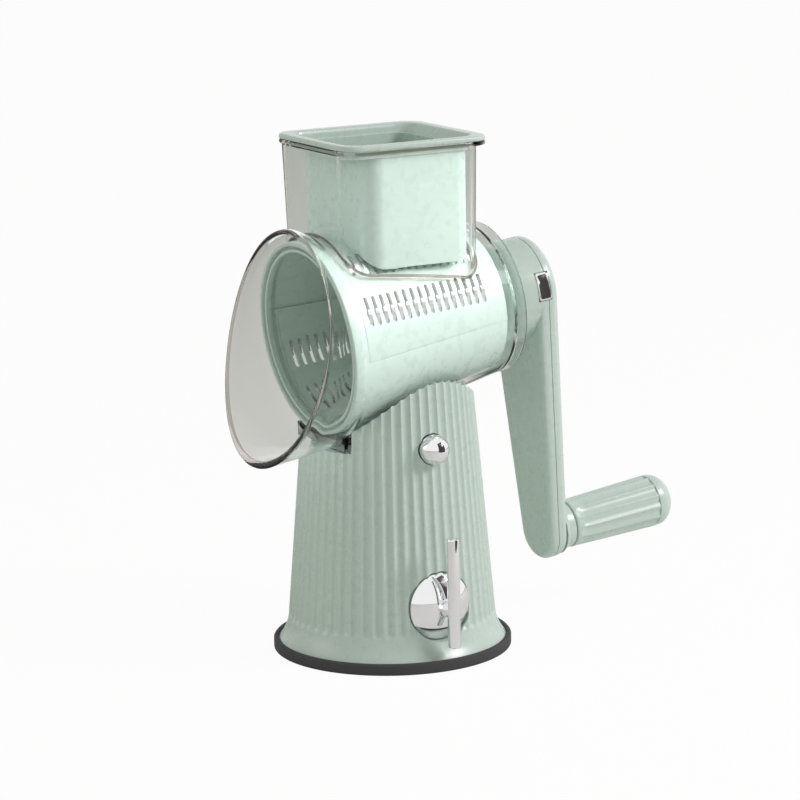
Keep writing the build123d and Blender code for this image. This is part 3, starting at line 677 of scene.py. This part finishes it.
def housing(look):
    """Clear body with the hopper grown out of it: outer prism joined, inner prism cut."""
    wall = look.wall / MM
    body = clear_shell(look)
    loops = [hopper_loop(0, 206.0), hopper_loop(0, 296.2)]
    rim = ((1.2, 296.6), (0.3, 297.0), (0, 297.4), (0, 298.7), (0.4, HOPPER_TOP))
    loops += [inset(RIM, d, z) for d, z in rim]
    outer = make("hopper_outer", skin(np.stack(loops), caps=True))
    theta = np.linspace(0, 2 * np.pi, HOUSING_STEPS, endpoint=False)
    stations = np.concatenate([np.linspace(-62, -44, 10), [-20, 20, 70]])
    core = [tilted(*barrel_surface(theta, np.full(theta.shape, s), wall * 0.5)) for s in stations]
    combine(outer, make("core", skin(np.stack(core), caps=True)))
    combine(body, outer, "UNION")
    hollow = np.stack([hopper_loop(wall, 204.0), hopper_loop(wall, 302.0)])
    combine(body, make("hollow", skin(hollow, caps=True)))
    # The second finish is the dark edge tint, painted shade on the rim faces that the marking below picks.
    finishes = [finish_of("clear_wall"), finish_of("clear_edge_shade")]
    dress(body, finishes, "stand", ["clear_housing"], 40.0)
    mark_painted_edge_shade(body)
    bead = make("hopper_bead", hopper_bead())
    # The bead takes the dark edge tint: a painted shade line along the joint of hopper and barrel.
    dress(bead, finish_of("clear_edge_shade"), "stand", [], 60.0)
    rail = make("housing_rail", rail_surface())
    soften(rail, 0.4)
    return dress(rail, finish_of("clear_wall"), "stand", [])


def hopper_bead(radius=0.9):
    """Thin round bead along the line where the hopper's outline meets the barrel: a circle swept round it."""
    outline = hopper_loop(0, 240.0)[:, :2]
    gaps = np.hypot(*np.diff(np.vstack([outline, outline[:1]]), axis=0).T)
    way = np.concatenate([[0], np.cumsum(gaps)])
    even = np.linspace(0, way[-1], 360, endpoint=False)
    x, y = (np.interp(even, way, np.append(v, v[0])) for v in outline.T)
    a = np.radians(DRUM_TILT)
    z = np.full(x.shape, 240.0)
    for _ in range(14):
        s = y * np.cos(a) + (z - DRUM_Z) * np.sin(a)
        wide, high = hood_axes(s)
        n = high * np.sqrt(np.maximum(1 - (x / wide) ** 2, 0.01))
        z = DRUM_Z + (n + y * np.sin(a)) / np.cos(a)
    line = np.stack([x, y, z], -1)
    along = np.roll(line, -1, 0) - np.roll(line, 1, 0)
    along /= np.linalg.norm(along, axis=1)[:, None]
    flat_way = np.stack([along[:, 1], -along[:, 0], 0 * x], -1)
    out = flat_way / np.linalg.norm(flat_way, axis=1)[:, None]
    up = np.cross(out, along)
    phi = np.linspace(0, 2 * np.pi, 12, endpoint=False)[None, :, None]
    return skin(line[:, None] + radius * (np.cos(phi) * out[:, None] + np.sin(phi) * up[:, None]), ring=True)


def mark_painted_edge_shade(body):
    """The faces of the slanted mouth and the edges of flange and hopper rim get the dark edge tint, a painted
    shade.
    """
    mesh = body.data
    centre = np.zeros(len(mesh.polygons) * 3)
    mesh.polygons.foreach_get("center", centre)
    normal = np.zeros(len(mesh.polygons) * 3)
    mesh.polygons.foreach_get("normal", normal)
    x, y, z = (centre.reshape(-1, 3) / MM).T
    a = np.radians(DRUM_TILT)
    s = y * np.cos(a) + (z - DRUM_Z) * np.sin(a)
    n = -y * np.sin(a) + (z - DRUM_Z) * np.cos(a)
    ny, nz = normal.reshape(-1, 3)[:, 1], normal.reshape(-1, 3)[:, 2]
    facing = ny * np.cos(a) + nz * np.sin(a)
    rim = (np.abs(s - mouth_s(n)) < 1.4) & (facing < -0.45)
    outside = np.maximum(np.abs(x) - 43.5, np.maximum(-47.5 - y, y - 44.5)) > 0
    rim |= (z > 296.4) & (np.abs(nz) < 0.6) & outside
    rim |= (s > 67.3) & (np.hypot(x, n) > 43.5)
    mesh.polygons.foreach_set("material_index", rim.astype(np.int32))


def rail_surface():
    """Rail under the barrel that fits the channel of the stand: front wall, web and rear wall."""
    low = CHANNEL_Z + 0.2
    return boxes(plain, (0.5 - CHANNEL_X, CHANNEL_X - 0.5), [(-45, -42.6), (-42.6, 26), (26, 28.4)],
                 [(low, 134.2), (low + 4.5, 134.0), (low, 138)])


# ------------------------------------------------------------------ pusher
def pusher():
    """Hollow block with a flanged top: loops up the outside, over the rim and down the inside."""
    def under(points, r):
        """Level of the arched underside, which curves up toward its rear edge."""
        x, y = points.T
        rise = ARCH_EDGE - np.sqrt(ARCH_EDGE**2 - np.clip(y - ARCH_BACK, 0, 6.9) ** 2)
        return ARCH_Z + np.sqrt(r * r - x * x) + rise

    body = inset(PUSHER, 0, 0)[:, :2]
    inside = inset(PUSHER, PUSHER_WALL, 0)[:, :2]
    middle = np.array([0, (PUSHER[1] + PUSHER[2]) / 2])
    loops = []
    edge = ((0.96, 0), (0.99, 0), (0.9985, 0.35), (1, 1))
    for share, up in (*((k / 5, 0) for k in range(5)), *edge):
        q = middle + share * (body - middle)
        loops.append(levels(q, under(q, ARCH_R) + up))
    loops += [levels(body, z) for z in (252.0, 293.8, 294.1)]
    loops += [inset(COLLAR, 0, z) for z in (294.3, 299.3)]
    rim = ((0.6, 299.45), (0.15, 299.6), (0, 299.95), (0, 301.2), (0.3, 301.85), (1.0, 302.2))
    loops += [inset(RIM, d, z) for d, z in rim]
    loops += [inset(WELL, -d, z) for d, z in ((1.6, 302.2), (0.6, 301.9), (0.1, 301.2))]
    loops += [levels(rect(37.7, -42.0, 36.4, 9.4), 299.0), levels(rect(37.6, -42.0, 35.4, 9.0), 297.0)]
    loops += [levels(inside, z) for z in (296.7, 252.0)]
    for share in (1.0, 0.97, 0.8, 0.6, 0.4, 0.2, 0.0):
        q = middle + share * (inside - middle)
        loops.append(levels(q, under(q, ARCH_R + PUSHER_WALL)))
    cup = make("pusher_block", skin(np.stack(loops)))
    return dress(cup, finish_of("mint_plastic"), "pusher", ["pusher_cup"], 40.0)


# ------------------------------------------------------------------ drum
def drum_r(s):
    return DRUM_R0 - DRUM_K * s


def sector_block(mid, half, s0, s1, low, high, steps=20):
    """Curved block of the drum wall round angle mid, between two stations and two offsets from its skin."""
    a = np.linspace(-1, 1, steps + 1)
    rings = []
    for s in (s0, s1):
        r0, r1 = drum_r(s) + low, drum_r(s) + high
        t = np.radians(mid) + a * half / drum_r(0)
        r = np.concatenate([np.full(t.shape, r0), np.full(t.shape, r1)])
        t = np.concatenate([t, t[::-1]])
        rings.append(tilted(r * np.cos(t), s, r * np.sin(t)))
    return skin(np.stack(rings), caps=True)


def slot_stations():
    return SLOT_FIRST + SLOT_PITCH * np.arange(SLOTS)


def around(mid):
    """Frame at an angle of the drum: x outward, s along the axis, n along the surface."""
    m = np.radians(mid)

    def place(x, s, n):
        x, s, n = np.broadcast_arrays(x, s, n)
        return tilted(x * np.cos(m) - n * np.sin(m), s, x * np.sin(m) + n * np.cos(m))
    return place


def drum_body():
    """Turned cone with the grooved front ring, four inner ribs and two windows."""
    section = rounded([(56.4, -47.0), (56.4, -53.0), (54.1, -53.0), (53.6, -49.3), (52.2, -49.3),
                       (51.9, -52.2), (50.2, -52.2), (50.2, -49.0), (drum_r(-45) - DRUM_WALL, -45.0),
                       (drum_r(DRUM_BACK) - DRUM_WALL, DRUM_BACK), (drum_r(DRUM_BACK), DRUM_BACK),
                       (drum_r(-47), -47.0)],
                      (0.5, 0.8, 0.5, 0.4, 0.4, 0.4, 0.5, 0.8, 0.8, 0.3, 0.8, 0.5), 4)
    body = make("drum_body", turned(section, tilted, 288))
    for mid in RIB_ANGLES:
        rib = sector_block(mid, 1.3, -46, 49.9, -DRUM_WALL - 1.6, -1.0, 2)
        combine(body, make("rib", rib), "UNION")
    for mid in PANEL_MID:
        window = sector_block(mid, PANEL_HALF + 0.15, PANEL_S[0] - 0.15, PANEL_S[1] + 0.4, -6, 3, 48)
        combine(body, make("window", window))
    return dress(body, finish_of("mint_plastic"), "drum", ["drum_frame"], 38.0)


def panel(name, k, node):
    """Curved panel of the drum wall with two rows of slots."""
    plate = make(name, sector_block(PANEL_MID[k], PANEL_HALF, *PANEL_S, -DRUM_WALL, 0, 48))
    half, end = SLOT_W / 2, SLOT_LEN / 2
    slot = rounded([(-half, -end), (half, -end), (half, end), (-half, end)], half * 0.99, 8)
    for mid in ROW_ANGLES[2 * k:2 * k + 2]:
        place = around(mid)
        tools = []
        for s in slot_stations():
            loops = [place(drum_r(s) + depth, s + slot[:, 0], slot[:, 1]) for depth in (-8, 5)]
            tools.append(skin(np.stack(loops), caps=True))
        combine(plate, make("slots", *tools))
    soften(plate, 0.2)
    return dress(plate, finish_of("mint_plastic"), "drum", [node], 35.0)


def teeth(name, k, node):
    """Bent steel teeth: each rises from under the panel to just above it, under half of its slot."""
    s = slot_stations()
    surfaces = []
    t = np.linspace(TOOTH_ROOT, TOOTH_TIP, 14)
    lift = -2.0 + 3.1 * smooth((t - TOOTH_ROOT - 1.0) / 9.0)
    above, below = (np.stack([lift + side * TOOTH_THICK / 2, t], -1) for side in (1, -1))
    path = np.concatenate([above, below[::-1]])
    for mid in ROW_ANGLES[2 * k:2 * k + 2]:
        place = around(mid)
        for station in s:
            r = drum_r(station)
            sides = (station - TOOTH_W / 2, station + TOOTH_W / 2)
            loops = np.stack([place(r + path[:, 0], side, path[:, 1]) for side in sides])
            surfaces.append(skin(loops, caps=True))
    plate = make(name, *surfaces)
    return dress(plate, finish_of("satin_steel"), "drum", [node], 35.0)


def hub():
    """Rear wall of the drum with its tube and six ribs."""
    edge = drum_r(50.2) - DRUM_WALL - 0.1
    section = rounded([(0, 47.0), (14, 47.0), (14, 50.2), (edge, 50.2), (drum_r(53) - DRUM_WALL - 0.1, 53.0),
                       (14, 53.0), (14, 69.2), (0, 69.2)],
                       (0, 0.8, 0.8, 0.2, 0.2, 0, 0.5, 0), 4, closed=False)
    disc = make("hub_disc", turned(section, tilted, 160, ring=False))
    for angle in range(0, 360, 60):
        combine(disc, make("rib", boxes(around(angle), (12, 36), (48.0, 51.0), (-1.2, 1.2))), "UNION")
    return dress(disc, finish_of("mint_plastic"), "drum", ["drum_hub"])


# ------------------------------------------------------------------ crank
def arm_loop(depth, s, steps=40):
    """Crank outline, two arcs joined by their common tangents, moved inward by a depth."""
    r0, r1 = HUB_R - depth, TIP_R - depth
    lean = np.arcsin((r0 - r1) / CRANK_L)
    t0 = np.linspace(-lean, np.pi + lean, steps + 1)
    t1 = np.linspace(np.pi + lean, 2 * np.pi - lean, steps + 1)
    x = np.concatenate([r0 * np.cos(t0), r1 * np.cos(t1)])
    n = np.concatenate([r0 * np.sin(t0), -CRANK_L + r1 * np.sin(t1)])
    return cranked(x, s, n)


def arm_half(name, s_seam, s_face, radius):
    """Half of the crank: straight wall from the seam, then a round edge to the flat face."""
    way = np.sign(s_face - s_seam)
    loops = [arm_loop(0.25, s_seam), arm_loop(0, s_seam + 0.3 * way)]
    for b in np.linspace(0, np.pi / 2, 9):
        loops.append(arm_loop(radius * (1 - np.cos(b)), s_face - way * radius * (1 - np.sin(b))))
    return make(name, skin(np.stack(loops), caps=True))


def crank():
    """Front shell with its hub, rear cover with the collar for the grip, and the side button."""
    front = arm_half("crank_shell", SEAM, FRONT_FACE, 4.6)
    back = SEAM - 0.5
    tube = rounded([(SHAFT_R, TUBE_FRONT), (HUB_R - 0.5, TUBE_FRONT), (HUB_R - 0.03, back), (SHAFT_R, back)],
                   (0.5, 7.0, 0, 0), 9)
    combine(front, make("tube", turned(tube, cranked, 128)), "UNION")
    rear = arm_half("crank_cover", SEAM + 0.25, BACK_FACE, 5.0)
    collar = rounded([(0, 99.0), (16.4, 99.0), (14.3, 101.9), (13.9, 107.0), (0, 107.0)],
                     (0, 0, 2.0, 0.6, 0), 6, closed=False)
    combine(rear, make("collar", turned(collar, gripped, 96, ring=False)), "UNION")
    pocket = ((18.5, 45), *((low - KEY_GAP, high + KEY_GAP) for low, high in (KEY_S, KEY_N)))
    for shell in (front, rear):
        combine(shell, make("pocket", boxes(cranked, *pocket)))
    for screw in SCREWS_N:
        combine(rear, rod("screw_hole", 3.4, 96.0, 104.0, lambda x, s, n: cranked(x, s, n + screw), 40))
    dress(front, finish_of("mint_plastic"), "drum", ["crank_front"], 35.0)
    dress(rear, finish_of("mint_plastic"), "drum", ["crank_rear"], 35.0)
    corners = [(KEY_S[0], KEY_N[0]), (KEY_S[1], KEY_N[0]), (KEY_S[1], KEY_N[1]), (KEY_S[0], KEY_N[1])]
    outline, middle = rounded(corners, 1.6, 6), np.mean(corners, 0)
    loops = []
    for r, k in ((24.0, 1.0), (KEY_R - 0.9, 1.0), (KEY_R - 0.3, 0.95), (KEY_R, 0.84)):
        q = middle + (outline - middle) * k
        loops.append(cranked(np.sqrt(r**2 - q[:, 1] ** 2), q[:, 0], q[:, 1]))
    key = make("side_button", skin(np.stack(loops), caps=True))
    return dress(key, finish_of("chrome_plate"), "crank_key", ["crank_button"], 40.0)


def grip():
    """Tapered sleeve with broad flutes, and its domed end cap."""
    s = np.concatenate([[GRIP_START, GRIP_START + 0.2, GRIP_START + 0.6],
                        np.linspace(GRIP_START + 3, GRIP_END - 0.4, 24), [GRIP_END]])[:, None]
    a = np.linspace(0, 2 * np.pi, GRIP_FLUTES * 16, endpoint=False)
    t = (s - GRIP_START) / (GRIP_END - GRIP_START)
    r = GRIP_R[0] + (GRIP_R[1] - GRIP_R[0]) * t
    u = (a * GRIP_FLUTES / (2 * np.pi)) % 1 - 0.5
    aside = u * 2 * np.pi * r / GRIP_FLUTES
    d = np.sqrt(np.maximum(GRIP_TOOL_R**2 - aside**2, 0)) - GRIP_TOOL_OUT
    d = 0.5 * (d + np.sqrt(d * d + 0.02))
    fade = smooth((s - GRIP_START) / 5.0 - 0.3)
    r = r - d * fade - 0.4 * (s <= GRIP_START) - 0.12 * (s == GRIP_START + 0.2)
    loops = gripped(r * np.cos(a), s, r * np.sin(a))
    bore = SPINDLE_R * np.cos(a), SPINDLE_R * np.sin(a)
    inner = [gripped(bore[0], np.full(a.shape, end), bore[1]) for end in (GRIP_END, GRIP_START)]
    sleeve = make("grip_shell", skin(np.concatenate([loops, inner]), ring=True))
    dress(sleeve, finish_of("mint_plastic"), "grip", ["grip_sleeve"], 40.0)
    b = np.linspace(0, np.pi / 2, 18)
    dome = np.stack([15.7 * np.cos(b) ** 0.9, 169.0 + 10.85 * np.sin(b)], -1)
    dome[-1, 0] = 0.0
    section = np.concatenate([[(0, 166.7), (15.2, 166.7), (15.7, 167.1)], dome])
    cap = make("grip_end", turned(section, gripped, 128, ring=False))
    return dress(cap, finish_of("mint_plastic"), "grip", ["grip_cap"], 50.0)


# ------------------------------------------------------------------ lever and release button
def disc_profile(r, high, x0, back):
    """Shallow dome: a circular arc from the crown to the rim, a blunt edge, then a flat back."""
    ball = (r * r + high * high) / (2 * high)
    half = np.arcsin(r / ball)
    t = np.linspace(0, half, 28)
    arc = np.stack([ball * np.sin(t), x0 + high - ball + ball * np.cos(t)], -1)
    tail = [(r, x0 - 0.25), (r - 0.1, x0 - 0.7), (r - 0.5, x0 - back), (0, x0 - back)]
    return np.concatenate([arc, tail])


def lever():
    """Chromed disc and cross bar of the suction lever."""
    dome = make("lever_disc", turned(disc_profile(19.4, 8.0, 56.2, 2.0), sideways(LEVER_Z), 160, ring=False))
    dress(dome, finish_of("chrome_plate"), "lever", ["lever_dome"], 40.0)
    low, high = BAR_Z
    outline = rounded([(0, low), (BAR_R, low), (BAR_R, high), (0, high)], (0, 0.9, 0.9, 0), 5, closed=False)
    bar = make("lever_rod", turned(outline, lambda x, s, n: standing(BAR_X + x, s, n), 64, ring=False))
    neck = rounded([(0, 60.0), (6.4, 60.0), (5.6, 63.6), (4.8, 66.5), (4.6, 71.9), (0, 71.9)],
                   (0, 0, 2.0, 3.0, 0, 0), 6, closed=False)
    combine(bar, make("neck", turned(neck, sideways(LEVER_Z), 64, ring=False)), "UNION")
    return dress(bar, finish_of("chrome_plate"), "lever", ["lever_bar"], 40.0)


def release():
    """Chromed ball-shaped button above the lever."""
    b = np.linspace(np.pi / 2, 0, 24)
    ball = np.stack([8.8 * np.cos(b), 52.3 + 8.8 * np.sin(b)], -1)
    section = np.concatenate([ball, [(8.8, 50.2), (8.4, 49.4), (3.0, 49.0), (3.0, 39.8), (0, 39.8)]])
    section[0, 0] = 0.0
    knob = make("release_knob", turned(section, sideways(BUTTON_Z), 128, ring=False))
    return dress(knob, finish_of("chrome_plate"), "release", ["release_button"], 40.0)


def inner_nodes():
    """Finishes of the nodes that stay as they are."""
    steel = ("floor_screws", "drive_bar", "cover_screws", "grip_spindle", "crank_spring", "release_spring",
             "lever_shaft")
    pale = ("stand_floor", "lever_bush", "rear_bush", "release_catch", "pull_stem")
    for names, kind in ((steel, "satin_steel"), (pale, "pale_plastic"), (("suction_pad",), "dark_rubber")):
        for name in names:
            mesh = frame["nodes"][name].data
            mesh.materials.clear()
            mesh.materials.append(finish_of(kind))


# ------------------------------------------------------------------ stage
CAMERA = {"azimuth": 60.51, "elevation": 11.74, "roll": -1.0, "distance": 1998.0, "focal_px": 3437.34,
          "right": 6.79, "height": 146.26}
IMAGE = 800
SENSOR = 36.0


def camera():
    """Camera fitted to the photographed outline."""
    az, el, roll = (np.radians(CAMERA[k]) for k in ("azimuth", "elevation", "roll"))
    back = np.array([np.sin(az) * np.cos(el), -np.cos(az) * np.cos(el), np.sin(el)])
    right = np.array([np.cos(az), np.sin(az), 0.0])
    up = np.cross(back, right)
    target = right * CAMERA["right"] + np.array([0, 0, CAMERA["height"]])
    turned_right = right * np.cos(roll) + up * np.sin(roll)
    turned_up = up * np.cos(roll) - right * np.sin(roll)
    data = bpy.data.cameras.new("camera")
    data.sensor_width = SENSOR
    data.lens = CAMERA["focal_px"] * SENSOR / IMAGE
    data.clip_start, data.clip_end = 0.05, 60.0
    obj = bpy.data.objects.new("camera", data)
    bpy.context.scene.collection.objects.link(obj)
    turn = Matrix(np.stack([turned_right, turned_up, back], -1).tolist())
    obj.matrix_world = Matrix.Translation((target + back * CAMERA["distance"]) * MM) @ turn.to_4x4()
    bpy.context.scene.camera = obj


def lamp(name, place, aim, size, power, colour=(1, 1, 1)):
    """Square soft lamp at a place, turned to its aim."""
    data = bpy.data.lights.new(name, "AREA")
    data.shape, data.size, data.energy, data.color = "SQUARE", size, power, colour
    obj = bpy.data.objects.new(name, data)
    bpy.context.scene.collection.objects.link(obj)
    way = Vector(aim) - Vector(place)
    obj.matrix_world = Matrix.Translation(Vector(place)) @ way.to_track_quat("-Z", "Y").to_matrix().to_4x4()


def backdrop_material(name, colour, share):
    """Pale floor: a share of plain white for the camera, the rest takes light and shadow."""
    r = Recipe(name)
    grain = r.noise(40.0, 3.0)
    r.link(r.blend(r.ramp(grain, 0, 1), shade(colour, 0.99), colour), r.shader.inputs["Base Color"])
    r.set(Roughness=0.9)
    path = r.add("ShaderNodeLightPath")
    glow = r.add("ShaderNodeEmission")
    seen = r.add("ShaderNodeMath", operation="MULTIPLY")
    r.link(path.outputs["Is Camera Ray"], seen.inputs[0])
    seen.inputs[1].default_value = share
    mixer = r.add("ShaderNodeMixShader")
    r.link(seen.outputs[0], mixer.inputs[0])
    r.link(r.shader.outputs["BSDF"], mixer.inputs[1])
    r.link(glow.outputs[0], mixer.inputs[2])
    r.link(mixer.outputs[0], r.out.inputs["Surface"])
    return r.mat


def world(strength):
    """Even, slightly warm light; plain white where the camera, a mirror or a clear wall looks past it all."""
    data = bpy.data.worlds.new("studio")
    bpy.context.scene.world = data
    data.use_nodes = True
    nodes, links = data.node_tree.nodes, data.node_tree.links
    path = nodes.new("ShaderNodeLightPath")
    seen = path.outputs["Is Camera Ray"]
    for ray in ("Is Glossy Ray", "Is Transmission Ray"):
        either = nodes.new("ShaderNodeMath")
        either.operation = "MAXIMUM"
        links.new(seen, either.inputs[0])
        links.new(path.outputs[ray], either.inputs[1])
        seen = either.outputs[0]
    tone = nodes.new("ShaderNodeMix")
    tone.data_type = "RGBA"
    tone.inputs[6].default_value = (strength, strength, strength * 0.91, 1)
    tone.inputs[7].default_value = (1, 1, 1, 1)
    links.new(seen, tone.inputs[0])
    links.new(tone.outputs[2], nodes["Background"].inputs["Color"])


def board(name, corners, material):
    """Flat board of the stage."""
    mesh = bpy.data.meshes.new(name)
    mesh.from_pydata(corners, [], [(0, 1, 2, 3)])
    mesh.materials.append(material)
    obj = bpy.data.objects.new(name, mesh)
    bpy.context.scene.collection.objects.link(obj)
    return obj


def dark_card(name, colour):
    """Dark board for the chrome to mirror: it leans away from the object, between two azimuths from +X."""
    corners = []
    for azimuth, distance, height in ((4, 0.62, 0.002), (55, 0.62, 0.002), (55, 0.95, 1.2), (4, 0.95, 1.2)):
        a = np.radians(azimuth)
        corners.append((distance * np.cos(a), distance * np.sin(a), height))
    card = board(name, corners, matte_plastic(name, colour))
    card.visible_diffuse = False
    card.visible_shadow = False
    card.visible_transmission = False


def stage(look):
    """Floor, lamps, dark card and camera."""
    camera()
    world(look.world)
    size = 14.0
    corners = [(-size, -size, 0), (size, -size, 0), (size, size, 0), (-size, size, 0)]
    board("floor", corners, backdrop_material("pale_floor", (0.93, 0.93, 0.91), 0.95))
    middle = (0, 0, 0.17)
    lamp("key", (1.15, 1.25, 1.25), middle, 0.6, look.key, (1.0, 0.94, 1.0))
    lamp("fill", (-0.6, -1.7, 0.8), middle, 1.0, look.fill)
    dark_card("dark_card", (0.05, 0.045, 0.038))
    bpy.context.scene.view_settings.view_transform = "Standard"


# ------------------------------------------------------------------ operators
class SHREDDER_OT_stage(Operator):
    """Floor, lamps, dark card and camera."""

    bl_idname = "shredder.stage"
    bl_label = "Stage"

    def execute(self, context):
        stage(context.scene.shredder_stage)
        return {"FINISHED"}


class SHREDDER_OT_stand(Operator):
    """Fluted stand and rubber foot."""

    bl_idname = "shredder.stand"
    bl_label = "Stand"

    def execute(self, context):
        tower(context.scene.shredder_stand)
        foot()
        return {"FINISHED"}


class SHREDDER_OT_housing(Operator):
    """Barrel, hood, flange, hopper, bead and rail of the clear housing."""

    bl_idname = "shredder.housing"
    bl_label = "Clear housing"

    def execute(self, context):
        housing(context.scene.shredder_housing)
        return {"FINISHED"}


class SHREDDER_OT_pusher(Operator):
    """Hollow pusher."""

    bl_idname = "shredder.pusher"
    bl_label = "Pusher"

    def execute(self, context):
        pusher()
        return {"FINISHED"}


class SHREDDER_OT_drum(Operator):
    """Drum body, panels, teeth and hub."""

    bl_idname = "shredder.drum"
    bl_label = "Drum"

    def execute(self, context):
        drum_body()
        sides = ("upper", "lower")
        for k, side in enumerate(sides):
            panel("panel_" + side, k, "slot_panel_" + side)
        for k, side in enumerate(sides):
            teeth("teeth_" + side, k, "tooth_plate_" + side)
        hub()
        return {"FINISHED"}


class SHREDDER_OT_crank(Operator):
    """Crank shells, collar and side button."""

    bl_idname = "shredder.crank"
    bl_label = "Crank"

    def execute(self, context):
        crank()
        return {"FINISHED"}


class SHREDDER_OT_grip(Operator):
    """Fluted grip and its cap."""

    bl_idname = "shredder.grip"
    bl_label = "Grip"

    def execute(self, context):
        grip()
        return {"FINISHED"}


class SHREDDER_OT_lever(Operator):
    """Suction lever and release button."""

    bl_idname = "shredder.lever"
    bl_label = "Lever"

    def execute(self, context):
        lever()
        release()
        return {"FINISHED"}


class SHREDDER_OT_inner(Operator):
    """Finishes of the pieces inside."""

    bl_idname = "shredder.inner"
    bl_label = "Inner pieces"

    def execute(self, context):
        inner_nodes()
        return {"FINISHED"}


STEPS = (SHREDDER_OT_stage, SHREDDER_OT_stand, SHREDDER_OT_housing, SHREDDER_OT_pusher, SHREDDER_OT_drum,
         SHREDDER_OT_crank, SHREDDER_OT_grip, SHREDDER_OT_lever, SHREDDER_OT_inner)


class SHREDDER_PT_panel(Panel):
    """Lists the steps in the sidebar."""

    bl_label = "Shredder"
    bl_space_type = "VIEW_3D"
    bl_region_type = "UI"
    bl_category = "Shredder"

    def draw(self, context):
        for step in STEPS:
            self.layout.operator(step.bl_idname)
        for group in (getattr(context.scene, name) for name in LOOKS):
            for key in group.__annotations__:
                self.layout.prop(group, key)


LOOKS = {"shredder_stand": StandLook, "shredder_housing": HousingLook, "shredder_metal": MetalLook,
         "shredder_stage": StageLook}
CLASSES = (*LOOKS.values(), *STEPS, SHREDDER_PT_panel)


def register():
    for cls in CLASSES:
        bpy.utils.register_class(cls)
    for key, cls in LOOKS.items():
        setattr(bpy.types.Scene, key, PointerProperty(type=cls))


def unregister():
    for key in LOOKS:
        delattr(bpy.types.Scene, key)
    for cls in reversed(CLASSES):
        bpy.utils.unregister_class(cls)


def main():
    """Registers the add-on and builds everything in order."""
    register()
    for step in STEPS:
        getattr(bpy.ops.shredder, step.bl_idname.split(".")[1])()


if __name__ == "__main__":
    main()
